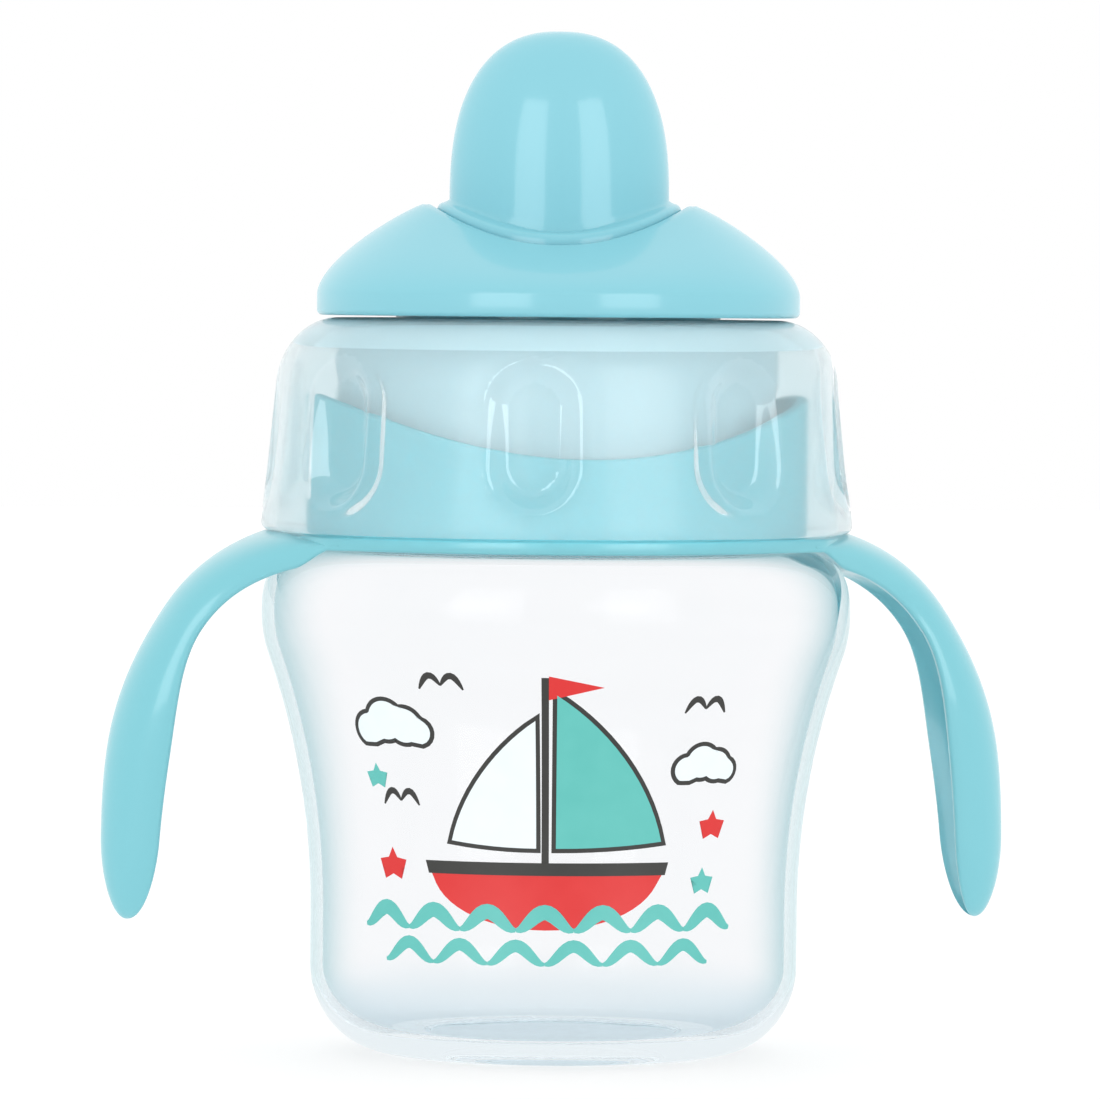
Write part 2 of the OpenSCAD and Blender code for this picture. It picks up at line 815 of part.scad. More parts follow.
module spout_cap() {
    angles = dome_angles(cap_rings);
    outside = concat(
        [flat_ring(plug_r + facet_off, cap_z), bead_ring(plug_r + facet_off, 2 * bead_round)],
        [bead_ring(plug_r - bead_w / 8, bead_round), bead_ring(plug_r - bead_w / 2, 0.3 * bead_round)],
        [bead_ring(plug_r - bead_w, 0), wall_ring(0, function (a) bead_top_at(a) + bead_fold)],
        [for (b = angles) dome_ring(b, 0)]
    );
    inside = concat(
        [wall_ring(cap_wall, function (a) cap_z)],
        [wall_ring(cap_wall, function (a) cap_curve_z)],
        [for (b = angles) dome_ring(b, cap_wall)]
    );
    color(aqua_plastic)
        rotate([0, 0, lid_turn])
            intersection() {
                shell(outside, [0, 0, cap_top], inside, [0, 0, cap_top - cap_wall]);
                translate([0, 0, cap_z - past])
                    cylinder(h = cap_top, r = plug_r);
            }
}

// Ring of the spout at angle b of its side, moved inwards by inset
function spout_ring(b, inset) =
    loop(
        spout_steps,
        function (a)
            let (r = (oval(spout_half_w, spout_half_d, a) - inset) * dome_out(b))
                [r * cos(a), r * sin(a), flange_top + (spout_h - inset) * dome_up(b)]
    );
function spout_foot(inset, z) =
    loop(
        spout_steps,
        function (a)
            let (r = oval(spout_half_w, spout_half_d, a) - inset) [r * cos(a), r * sin(a), z]
    );

module spout_solid(inset, bottom) {
    skin(
        concat([spout_foot(inset, bottom)], [for (b = dome_angles(spout_rings)) spout_ring(b, inset)]),
        [0, 0, bottom],
        [0, 0, spout_top - inset]
    );
}

module spout() {
    color(silicone)
        rotate([0, 0, lid_turn])
            difference() {
                union() {
                    rotate_extrude()
                        polygon([
                            [0, flange_z],
                            [stack_r, flange_z],
                            [stack_r, spout_rim_top],
                            [spout_rim_r, spout_rim_top],
                            [spout_rim_r, flange_top],
                            [0, flange_top]
                        ]);
                    spout_solid(0, flange_z + joined);
                }
                spout_solid(spout_wall, flange_z - past);
                translate([0, vent_dist, flange_z - past])
                    cylinder(h = spout_flange_t + 2 * past, r = vent_bulb_r + vent_bulb_gap);
                translate([-slit_len / 2, -slit_w / 2, spout_top - 3 * spout_wall])
                    cube([slit_len, slit_w, 6 * spout_wall]);
            }
}

module valve_plate() {
    color(white_plastic)
        rotate([0, 0, lid_turn])
            difference() {
                union() {
                    translate([0, 0, plate_z])
                        cylinder(h = plate_t, r = stack_r);
                    translate([0, 0, plate_z - stub_h])
                        cylinder(h = stub_h + joined, r = stub_r);
                }
                translate([0, 0, plate_z - stub_h - past])
                    cylinder(h = stub_h + plate_t + 2 * past, r = stub_r - stub_wall);
                translate([0, vent_dist, plate_z - past])
                    cylinder(h = plate_t + 2 * past, r = vent_stem_r + soft_gap);
                for (i = [0:air_hole_count - 1])
                    translate([0, vent_dist, plate_z - past])
                        rotate([0, 0, air_hole_turn + i * 360 / air_hole_count])
                            translate([air_hole_dist, 0, 0])
                                cylinder(h = plate_t + 2 * past, r = air_hole_r);
            }
}

module flow_valve() {
    in_r = stub_r + soft_gap;
    bottom = plate_z - stub_h - valve_gap - valve_floor;
    color(silicone)
        rotate([0, 0, lid_turn])
            difference() {
                translate([0, 0, bottom])
                    cylinder(h = plate_z - seat_gap - bottom, r = in_r + valve_wall);
                translate([0, 0, bottom + valve_floor])
                    cylinder(h = plate_z, r = in_r);
                for (a = [0, 90])
                    rotate([0, 0, a])
                        translate([-stub_r / 2, -slit_w / 2, bottom - past])
                            cube([stub_r, slit_w, valve_floor + 2 * past]);
            }
}

module vent_valve() {
    top = flange_z + soft_gap;
    disc_top = plate_z - soft_gap;
    color(silicone)
        rotate([0, 0, lid_turn])
            translate([0, vent_dist, 0])
                rotate_extrude()
                    polygon([
                        [0, disc_top - vent_disc_t],
                        [vent_disc_r * vent_flat_part, disc_top - vent_disc_t],
                        [vent_disc_r, disc_top - vent_disc_t / 3],
                        [vent_disc_r, disc_top],
                        [vent_stem_r, disc_top],
                        [vent_stem_r, top],
                        [vent_bulb_r, top],
                        [vent_bulb_r, top + vent_bulb_h / 3],
                        [vent_stem_r / 2, top + vent_bulb_h],
                        [0, top + vent_bulb_h]
                    ]);
}

module rim_seal() {
    color(silicone)
        difference() {
            translate([0, 0, seal_z])
                cylinder(h = seal_t, r = stack_r);
            translate([0, 0, seal_z - past])
                cylinder(h = seal_t + 2 * past, r = neck_in_r + seal_inset);
        }
}

bottle();
handle_frame();
screw_collar();
lid();
spout_cap();
spout();
valve_plate();
flow_valve();
vent_valve();
rim_seal();
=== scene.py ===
"""Looks of a two-handled sippy cup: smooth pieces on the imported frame, finishes, print and studio."""

import logging
import math
from dataclasses import dataclass
from enum import Enum
from itertools import pairwise
from typing import Iterable, Sequence

import bmesh
import bpy
import numpy as np
from mathutils import Matrix, Vector


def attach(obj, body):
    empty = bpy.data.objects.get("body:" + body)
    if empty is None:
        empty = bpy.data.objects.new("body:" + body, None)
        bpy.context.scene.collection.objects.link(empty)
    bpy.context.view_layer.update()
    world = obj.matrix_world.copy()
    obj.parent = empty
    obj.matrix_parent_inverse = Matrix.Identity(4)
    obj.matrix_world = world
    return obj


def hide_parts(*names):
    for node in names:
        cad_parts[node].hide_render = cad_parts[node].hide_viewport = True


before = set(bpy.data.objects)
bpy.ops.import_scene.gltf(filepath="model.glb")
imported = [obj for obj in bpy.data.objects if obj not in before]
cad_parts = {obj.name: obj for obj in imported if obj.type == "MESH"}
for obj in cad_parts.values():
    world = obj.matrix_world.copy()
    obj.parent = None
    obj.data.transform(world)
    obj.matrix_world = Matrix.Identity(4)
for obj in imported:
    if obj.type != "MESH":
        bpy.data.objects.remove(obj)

LOG = logging.getLogger("sippy_cup")
MM = 0.001
Point = tuple[float, float]

# Layer Weight's facing value where the painted edge shade starts to show, and where it is full.
EDGE_SHADE_START, EDGE_SHADE_FULL = 0.38, 0.98
# Share of the foot's height below which the painted shade towards the bottom is full.
FOOT_SHADE_FULL = 0.4
BUMP_STRENGTH = 0.6
PURE_WHITE = (1.0, 1.0, 1.0, 1.0)


class Body(Enum):
    """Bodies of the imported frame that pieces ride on."""

    BOTTLE = "bottle"
    HANDLES = "handles"
    LID = "lid_unit"
    COLLAR = "collar"
    CAP = "cap"


class Slot(Enum):
    """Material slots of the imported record."""

    CLEAR = "clear_plastic"
    AQUA = "aqua_plastic"
    FROSTED = "frosted_plastic"
    SILICONE = "silicone"


def linear(hex_colour: str) -> tuple[float, float, float, float]:
    """Turn an sRGB hex colour into linear RGBA.

    Args:
        hex_colour: Colour written as "#RRGGBB".

    Returns:
        Linear red, green, blue and an alpha of 1.
    """
    parts = [int(hex_colour[i:i + 2], 16) / 255 for i in (1, 3, 5)]
    red, green, blue = (p / 12.92 if p <= 0.04045 else ((p + 0.055) / 1.055) ** 2.4 for p in parts)
    return red, green, blue, 1.0


def add(
    tree: bpy.types.NodeTree, kind: str, sockets: dict | None = None, **settings: object
) -> bpy.types.Node:
    """Add a node with its settings, values and links.

    Args:
        tree: Tree that gets the node.
        kind: Type name of the node.
        sockets: Input name or number to a value, or to the output that feeds it.
        settings: Properties of the node.

    Returns:
        The new node.
    """
    node = tree.nodes.new(kind)
    for name, value in settings.items():
        setattr(node, name, value)
    for key, value in (sockets or {}).items():
        if isinstance(value, bpy.types.NodeSocket):
            tree.links.new(value, node.inputs[key])
        else:
            node.inputs[key].default_value = value
    return node


def seen_glow(tree: bpy.types.NodeTree, dim: float, bright: float) -> bpy.types.NodeSocket:
    """Add nodes for a glow that is bright to the eye, straight or through clear plastic, and dim as a light.

    Args:
        tree: Tree that gets the nodes.
        dim: Strength for light on the cup.
        bright: Strength to the eye.

    Returns:
        The socket with the strength.
    """
    path = add(tree, "ShaderNodeLightPath")
    through = add(
        tree, "ShaderNodeMath",
        {0: path.outputs["Transmission Depth"], 1: path.outputs["Diffuse Depth"]}, operation="SUBTRACT",
    )
    seen = add(
        tree, "ShaderNodeMath", {0: path.outputs["Is Camera Ray"], 1: through.outputs[0]}, operation="MAXIMUM"
    )
    return add(
        tree, "ShaderNodeMapRange", {"Value": seen.outputs[0], "To Min": dim, "To Max": bright}
    ).outputs[0]


def laid_over(
    tree: bpy.types.NodeTree,
    under: bpy.types.NodeSocket,
    hex_colour: str,
    value: bpy.types.NodeSocket,
    start: float,
    full: float,
) -> bpy.types.NodeSocket:
    """Add nodes that lay a colour softly over another one.

    Args:
        tree: Tree that gets the nodes.
        under: Colour that is covered.
        hex_colour: Colour on top.
        value: What decides how much it covers.
        start: Value at which it starts to cover.
        full: Value at which it covers in full.

    Returns:
        The socket with the mixed colour.
    """
    amount = add(
        tree, "ShaderNodeMapRange", {"Value": value, "From Min": start, "From Max": full},
        interpolation_type="SMOOTHSTEP",
    )
    mixed = add(
        tree, "ShaderNodeMix", {0: amount.outputs[0], 6: under, 7: linear(hex_colour)}, data_type="RGBA"
    )
    return mixed.outputs[2]


def ease(value: float, start: float = 0.0, end: float = 1.0) -> float:
    """Smooth step from 0 at start to 1 at end."""
    c = max(0.0, min(1.0, (value - start) / (end - start)))
    return c * c * (3 - 2 * c)


def arc(centre: Point, rx: float, rz: float, start: float, end: float, steps: int) -> list[Point]:
    """Points of an arc of an ellipse.

    Args:
        centre: Middle of the ellipse.
        rx: Half of its width.
        rz: Half of its height.
        start: First angle in degrees.
        end: Last angle in degrees.
        steps: Number of steps between them.

    Returns:
        The points, both ends included.
    """
    angles = [math.radians(start + (end - start) * i / steps) for i in range(steps + 1)]
    return [(centre[0] + rx * math.cos(a), centre[1] + rz * math.sin(a)) for a in angles]


def cubic(points: Sequence[Point], t: float) -> Point:
    """Point at t of a cubic curve through four control points."""
    w = ((1 - t) ** 3, 3 * (1 - t) ** 2 * t, 3 * (1 - t) * t * t, t ** 3)
    return sum(k * p[0] for k, p in zip(w, points)), sum(k * p[1] for k, p in zip(w, points))


def spread(start: Point, end: Point, step: float) -> list[Point]:
    """Points from one point towards another.

    Args:
        start: First point, which is included.
        end: Last point, which is left out.
        step: Largest distance between two points.

    Returns:
        The points.
    """
    n = max(1, math.ceil(math.dist(start, end) / step))
    dx, dz = end[0] - start[0], end[1] - start[1]
    return [(start[0] + dx * i / n, start[1] + dz * i / n) for i in range(n)]


@dataclass(frozen=True)
class Finish:
    """A plastic, silicone or ink, from how it is made and what that gives the eye.

    Sizes of patterns are in mm. A glow has a strength as a light and one to the eye. An edge colour is
    painted shade where a wall is seen edge-on, and a foot colour is painted shade towards the bottom.
    """

    name: str
    colour: str
    deep: str
    roughness: tuple[float, float]
    mottle_mm: float
    grain_mm: float
    grain_depth_mm: float
    ior: float = 1.5
    transmission: float = 0.0
    subsurface: float = 0.0
    subsurface_mm: float = 1.0
    coat: float = 0.0
    coat_roughness: float = 0.1
    lamp_colour: str = ""
    # Colour where a wall is seen edge-on: painted shade.
    edge: str = ""
    # Colour towards the bottom of the piece: painted shade.
    foot: str = ""
    foot_shade_mm: float = 11.0
    glow: Point | None = None

    def material(self) -> bpy.types.Material:
        """Make the material, or give the one that is already made.

        Returns:
            A material of the finish's name.
        """
        found = bpy.data.materials.get(self.name)
        if found:
            return found
        made = bpy.data.materials.new(self.name)
        made.use_nodes = True
        tree = made.node_tree
        tree.nodes.clear()
        place = add(tree, "ShaderNodeTexCoord").outputs["Object"]
        mottle, grain = (
            add(tree, "ShaderNodeTexNoise", {"Vector": place, "Scale": 1 / (size * MM), "Detail": detail})
            for size, detail in ((self.mottle_mm, 1.0), (self.grain_mm, 2.0))
        )
        colour = add(
            tree, "ShaderNodeMix",
            {0: mottle.outputs["Fac"], 6: linear(self.colour), 7: linear(self.deep)}, data_type="RGBA",
        )
        tint = colour.outputs[2]
        # Painted shade: the edge colour covers the tint where the surface is seen edge-on.
        if self.edge:
            facing = add(tree, "ShaderNodeLayerWeight", {"Blend": 0.5}).outputs["Facing"]
            tint = laid_over(tree, tint, self.edge, facing, EDGE_SHADE_START, EDGE_SHADE_FULL)
        # Painted shade: the foot colour covers the tint towards the bottom of the piece.
        if self.foot:
            height = add(tree, "ShaderNodeSeparateXYZ", {0: place}).outputs[2]
            top = self.foot_shade_mm * MM
            tint = laid_over(tree, tint, self.foot, height, top, FOOT_SHADE_FULL * top)
        rough = add(
            tree, "ShaderNodeMapRange",
            {"Value": mottle.outputs["Fac"], "To Min": self.roughness[0], "To Max": self.roughness[1]},
        )
        bump = add(
            tree, "ShaderNodeBump",
            {
                "Height": grain.outputs["Fac"],
                "Distance": self.grain_depth_mm * MM,
                "Strength": BUMP_STRENGTH,
            },
        )
        shader = add(
            tree, "ShaderNodeBsdfPrincipled",
            {
                "Base Color": tint,
                "Roughness": rough.outputs[0],
                "Normal": bump.outputs[0],
                "IOR": self.ior,
                "Transmission Weight": self.transmission,
                "Subsurface Weight": self.subsurface,
                "Subsurface Scale": self.subsurface_mm * MM,
                "Coat Weight": self.coat,
                "Coat Roughness": self.coat_roughness,
            },
        )
        surface = shader.outputs[0]
        if self.glow:
            shader.inputs["Emission Color"].default_value = PURE_WHITE
            tree.links.new(seen_glow(tree, *self.glow), shader.inputs["Emission Strength"])
        if self.lamp_colour:
            lamps = add(tree, "ShaderNodeBsdfTransparent", {"Color": linear(self.lamp_colour)})
            path = add(tree, "ShaderNodeLightPath")
            surface = add(
                tree, "ShaderNodeMixShader",
                {0: path.outputs["Is Shadow Ray"], 1: surface, 2: lamps.outputs[0]},
            ).outputs[0]
        add(tree, "ShaderNodeOutputMaterial", {"Surface": surface})
        return made


# Moulding grain, sand finish and screen mesh are too fine to show at this size, so they are drawn coarser.
# The clear plastics have a lower IOR than real ones, so that their walls hardly bend what lies behind them.
# Moulded clear copolyester: water-white and glossy, with painted shade at its edges and towards its bottom.
CLEAR = Finish(
    "Moulded clear copolyester", "#FAFAFB", "#F8F9FA", (0.01, 0.03), 30, 2.5, 0.0003,
    ior=1.04, transmission=1.0, coat=0.08, coat_roughness=0.04,
    # The edge is partly the faint cool tint of thick walls and partly painted shade; the foot is painted
    # shade of the thick base.
    lamp_colour="#F4F8F9", edge="#BCDADF", foot="#E9F1F5",
)
# Moulded natural polypropylene: glossy and see-through with a light milky haze, and a faint painted shade at
# its edges.
FROSTED = Finish(
    "Moulded natural polypropylene", "#EFF8FA", "#ECF7F9", (0.16, 0.2), 30, 2.0, 0.0004,
    ior=1.08, transmission=0.84, coat=0.15, coat_roughness=0.12, lamp_colour="#E6F0F2", edge="#F0F6F8",
)
# The same with a polished face, as on the soft edges of the grips: clear highlights.
POLISHED = Finish(
    "Polished natural polypropylene", "#F2F9FB", "#EFF8FA", (0.08, 0.1), 30, 2.0, 0.0004,
    ior=1.08, transmission=0.88, coat=1.0, coat_roughness=0.05, lamp_colour="#E6F0F2", edge="#F0F6F8",
)
# The same with a sand-finished face, as on the sleeve: milky, so that the inside shows only as a pale blur.
SANDED = Finish(
    "Sand-finished natural polypropylene", "#CFE6EC", "#CBE4EA", (0.35, 0.45), 30, 0.5, 0.004,
    ior=1.12, transmission=0.4, lamp_colour="#DCEBEE",
)
# Moulded aqua polypropylene: even pale colour, smooth with clear softbox highlights.
AQUA = Finish(
    "Moulded aqua polypropylene", "#8BCDDA", "#87CBD8", (0.28, 0.34), 30, 0.8, 0.001,
    ior=1.2, coat=0.45, coat_roughness=0.1,
)
# The same in the thick handles, as a copy with a little deeper colour: painted shade, since no light comes
# through them.
AQUA_PAINTED_SHADE = Finish(
    "Thick aqua polypropylene, painted shade", "#80C9D4", "#7CC7D2", (0.28, 0.34), 30, 0.8, 0.001,
    ior=1.3, coat=0.4, coat_roughness=0.12,
)
# The same with a sand-finished face, as on the skirt in the collar: dull, with no clear highlights, and a
# deeper colour that is painted shade inside the collar.
AQUA_MATT_PAINTED_SHADE = Finish(
    "Sand-finished aqua polypropylene, painted shade", "#5FB7C2", "#5BB5C0", (0.5, 0.6), 30, 0.5, 0.004, ior=1.1
)
# The same in the handles' hollow: dull, and its deeper colour is painted shade, where little light comes.
AQUA_HOLLOW_PAINTED_SHADE = Finish(
    "Aqua polypropylene, painted shade of the hollow", "#40D4DC", "#3CD2DA", (0.5, 0.6), 30, 0.5, 0.002, ior=1.05
)
# Moulded white polypropylene: bright and satin.
WHITE = Finish(
    "Moulded white polypropylene", "#EEF1F1", "#E8EDED", (0.28, 0.36), 20, 0.6, 0.003, ior=1.49
)
# Moulded silicone: matt, waxy and a little see-through.
SILICONE = Finish(
    "Moulded soft silicone", "#E9F0F1", "#E1EBED", (0.38, 0.5), 10, 0.5, 0.004,
    ior=1.41, transmission=0.15, subsurface=0.4, subsurface_mm=2.0,
)
# Screen-printed inks: flat opaque film with a faint mesh grain.
INK_BLACK, INK_RED, INK_MINT, INK_PALE = (
    Finish(f"Screen ink {name}", colour, deep, (0.35, 0.45), 3, 0.35, 0.003)
    for name, colour, deep in (
        ("black", "#262624", "#2D2D2A"),
        ("red", "#D91C1C", "#DE2827"),
        ("mint", "#58BCB4", "#62C3BB"),
        ("pale blue", "#EAF5F9", "#F0F8FB"),
    )
)
# Backlit white acrylic table under the cup: even, pale and nearly free of shadow.
BOARD = Finish(
    "Backlit white acrylic table", "#8C8D8D", "#898A8A", (0.7, 0.8), 160, 6.0, 0.01, glow=(0.75, 0.71)
)


def new_object(name: str, mesh: bpy.types.Mesh) -> bpy.types.Object:
    """Put a mesh into the scene as an object at the origin.

    Args:
        name: Name of the object.
        mesh: Its mesh.

    Returns:
        The new object.
    """
    made = bpy.data.objects.new(name, mesh)
    bpy.context.scene.collection.objects.link(made)
    return made


def skin_mesh(
    name: str,
    rings: Sequence[np.ndarray],
    poles: tuple[Sequence[float], Sequence[float]] | None,
    marks: dict[str, Sequence[float]] | None = None,
) -> bpy.types.Mesh:
    """Make a closed mesh through rings of as many points each.

    Args:
        name: Name of the mesh.
        rings: Rings of points in mm.
        poles: Points that close the first and the last ring, or None where the last ring joins the first.
        marks: Values for each ring, kept as point attributes of these names.

    Returns:
        The mesh in metres, with its faces outwards.
    """
    n = len(rings[0])
    flat = np.concatenate([np.asarray(r, float) for r in rings])
    pairs = [(i, i + 1) for i in range(len(rings) - 1)]
    faces: list[tuple[int, ...]] = []
    if poles is None:
        pairs.append((len(rings) - 1, 0))
    for i, j in pairs:
        a, b = i * n, j * n
        faces += [(a + k, a + (k + 1) % n, b + (k + 1) % n, b + k) for k in range(n)]
    if poles is not None:
        first, last = len(flat), len(flat) + 1
        flat = np.concatenate([flat, np.asarray(poles, float)])
        end = (len(rings) - 1) * n
        faces += [(first, (k + 1) % n, k) for k in range(n)]
        faces += [(last, end + k, end + (k + 1) % n) for k in range(n)]
    mesh = bpy.data.meshes.new(name)
    mesh.from_pydata((flat * MM).tolist(), [], faces)
    for key, values in (marks or {}).items():
        each = np.zeros(len(flat), np.float32)
        each[:len(rings) * n] = np.repeat(np.asarray(values, np.float32), n)
        mesh.attributes.new(key, "FLOAT", "POINT").data.foreach_set("value", each)
    outward(mesh)
    return mesh


def outward(mesh: bpy.types.Mesh) -> None:
    """Turn the faces of a closed mesh outwards.

    Args:
        mesh: Mesh that is changed.
    """
    work = bmesh.new()
    work.from_mesh(mesh)
    bmesh.ops.recalc_face_normals(work, faces=work.faces)
    work.to_mesh(mesh)
    work.free()


def circle_ring(r: float, z: float, steps: int) -> np.ndarray:
    """Ring of points round the axis at a radius and a height in mm."""
    a = np.linspace(0, 2 * math.pi, steps, endpoint=False)
    return np.stack([r * np.cos(a), r * np.sin(a), np.full(steps, z)], 1)


def oval_ring(
    half_w: float, half_d: float, z: float, steps: int, inset: float = 0.0, out: float = 1.0
) -> np.ndarray:
    """Ring of points on an oval round the axis.

    Args:
        half_w: Half of the width.
        half_d: Half of the depth.
        z: Height.
        steps: Number of points.
        inset: How far the ring lies inside the oval.
        out: Share of that size that is used.

    Returns:
        The points in mm.
    """
    a = np.linspace(0, 2 * math.pi, steps, endpoint=False)
    r = (half_w * half_d / np.sqrt((half_d * np.cos(a)) ** 2 + (half_w * np.sin(a)) ** 2) - inset) * out
    return np.stack([r * np.cos(a), r * np.sin(a), np.full(steps, z)], 1)


def turn(mesh: bpy.types.Mesh, degrees: float) -> None:
    """Turn a mesh round the axis."""
    mesh.transform(Matrix.Rotation(math.radians(degrees), 4, "Z"))


def smooth(piece: bpy.types.Object, sharp_deg: float = 32.0) -> bpy.types.Object:
    """Shade a piece smooth, with sharp edges left crisp.

    Args:
        piece: Object that is shaded.
        sharp_deg: Angle from which an edge is sharp.

    Returns:
        The same object.
    """
    piece.data.shade_smooth()
    piece.data.set_sharp_from_angle(angle=math.radians(sharp_deg))
    return piece


def dress(piece: bpy.types.Object, finish: Finish) -> None:
    """Give a piece one finish."""
    piece.data.materials.clear()
    piece.data.materials.append(finish.material())


def carve(piece: bpy.types.Object, tools: Sequence[bpy.types.Object]) -> None:
    """Cut shapes out of a piece, keep the result as its plain mesh and remove the shapes.

    Args:
        piece: Object that is cut.
        tools: Objects with closed meshes.
    """
    for tool in tools:
        cut = piece.modifiers.new(tool.name, "BOOLEAN")
        cut.operation = "DIFFERENCE"
        cut.solver = "EXACT"
        cut.object = tool
    graph = bpy.context.evaluated_depsgraph_get()
    whole = bpy.data.meshes.new_from_object(piece.evaluated_get(graph), depsgraph=graph)
    piece.modifiers.clear()
    piece.data = whole
    for tool in tools:
        bpy.data.objects.remove(tool)


def settle(piece: bpy.types.Object, body: Body, nodes: Iterable[str] = ()) -> None:
    """Let a finished piece ride on its body and stand for its nodes.

    Args:
        piece: The finished piece.
        body: Body that it rides on.
        nodes: Nodes that it stands for.
    """
    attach(piece, body.value)
    for node in nodes:
        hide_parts(node)
    LOG.info("%s rides on %s, %d faces", piece.name, body.value, len(piece.data.polygons))


class NodeTool:
    """A geometry node tree with named inputs, made once and run on any piece."""

    title = ""
    inputs: tuple[tuple[str, str], ...] = ()
    special: dict[str, tuple[str, dict[str, str]]] = {
        "PLACE": ("ShaderNodeCombineXYZ", {}),
        "SMOOTHSTEP": ("ShaderNodeMapRange", {"interpolation_type": "SMOOTHSTEP"}),
    }

    def __init__(self) -> None:
        """Make the tree, its inputs and its nodes."""
        self.tree = bpy.data.node_groups.new(self.title, "GeometryNodeTree")
        kinds = (("Geometry", "NodeSocketGeometry"), *self.inputs, ("Material", "NodeSocketMaterial"))
        face = self.tree.interface
        self.keys = {
            name: face.new_socket(name=name, in_out="INPUT", socket_type=kind).identifier
            for name, kind in kinds
        }
        face.new_socket(name="Geometry", in_out="OUTPUT", socket_type="NodeSocketGeometry")
        self.given = add(self.tree, "NodeGroupInput").outputs
        self.known: dict[str, object] = {name: self.given[name] for name, _ in self.inputs}
        shape = self.wire()
        whole = add(self.tree, "GeometryNodeRealizeInstances", {"Geometry": shape})
        coated = add(
            self.tree, "GeometryNodeSetMaterial",
            {"Geometry": whole.outputs[0], "Material": self.given["Material"]},
        )
        add(self.tree, "NodeGroupOutput", {"Geometry": coated.outputs[0]})

    def wire(self) -> bpy.types.NodeSocket:
        """Add the tool's own nodes.

        Returns:
            The socket with the shaped geometry.
        """
        raise NotImplementedError

    def chain(self, rows: Sequence[tuple]) -> None:
        """Add nodes row by row, each named so that later rows can use its first output.

        Args:
            rows: Name, operation and inputs of each node; an input is a known name or a number.
        """
        for name, what, *sources in rows:
            kind, settings = self.special.get(what, ("ShaderNodeMath", {"operation": what}))
            values = {i: self.known[s] if isinstance(s, str) else s for i, s in enumerate(sources)}
            self.known[name] = add(self.tree, kind, values, **settings).outputs[0]

    def know_place(self) -> None:
        """Make each point's place known as x, y and z."""
        at = add(self.tree, "GeometryNodeInputPosition").outputs[0]
        self.known.update(zip("xyz", add(self.tree, "ShaderNodeSeparateXYZ", {0: at}).outputs))

    def know_mark(self, name: str) -> None:
        """Make a point attribute known by its name."""
        mark = add(self.tree, "GeometryNodeInputNamedAttribute", {"Name": name}, data_type="FLOAT")
        self.known[name] = mark.outputs["Attribute"]

    def moved(self, shape: bpy.types.NodeSocket, socket: str, name: str) -> bpy.types.NodeSocket:
        """Move the points of a shape.

        Args:
            shape: Geometry that is moved.
            socket: "Offset" to move points by a known value, or "Position" to move them to it.
            name: Name of that value.

        Returns:
            The socket with the moved geometry.
        """
        values = {"Geometry": shape, socket: self.known[name]}
        return add(self.tree, "GeometryNodeSetPosition", values).outputs[0]

    def run(self, piece: bpy.types.Object, finish: Finish, **values: float) -> bpy.types.Object:
        """Run the tool on a piece and keep the result as its plain mesh.

        Args:
            piece: Object whose mesh goes in.
            finish: Finish for the result.
            values: Inputs by name, with _ for a space.

        Returns:
            The same object.
        """
        modifier = piece.modifiers.new(self.title, "NODES")
        modifier.node_group = self.tree
        for name, value in values.items():
            modifier[self.keys[name.replace("_", " ").capitalize()]] = value
        modifier[self.keys["Material"]] = finish.material()
        graph = bpy.context.evaluated_depsgraph_get()
        mesh = bpy.data.meshes.new_from_object(
            piece.evaluated_get(graph), preserve_all_data_layers=True, depsgraph=graph
        )
        piece.modifiers.clear()
        old = piece.data
        piece.data = mesh
        bpy.data.meshes.remove(old)
        mesh.name = piece.name
        return piece


def floats(*names: str) -> tuple[tuple[str, str], ...]:
    """Inputs of a node tool that are plain numbers."""
    return tuple((name, "NodeSocketFloat") for name in names)


class WaveTool(NodeTool):
    """Raises and lowers marked rows of a round piece in a two-fold wave."""

    title = "Saddle wave"
    inputs = floats("Wave height", "Turn")

    def wire(self) -> bpy.types.NodeSocket:
        """Move points up by the wave at their angle, as far as they are marked.

        Returns:
            The socket with the shaped geometry.
        """
        self.know_place()
        self.know_mark("wave")
        self.chain((
            ("angle", "ARCTAN2", "y", "x"),
            ("from_crest", "SUBTRACT", "angle", "Turn"),
            ("twice", "MULTIPLY", "from_crest", 2.0),
            ("cosine", "COSINE", "twice"),
            ("rise", "MULTIPLY", "cosine", "Wave height"),
            ("lift", "MULTIPLY", "rise", "wave"),
            ("offset", "PLACE", 0.0, 0.0, "lift"),
        ))
        return self.moved(self.given["Geometry"], "Offset", "offset")


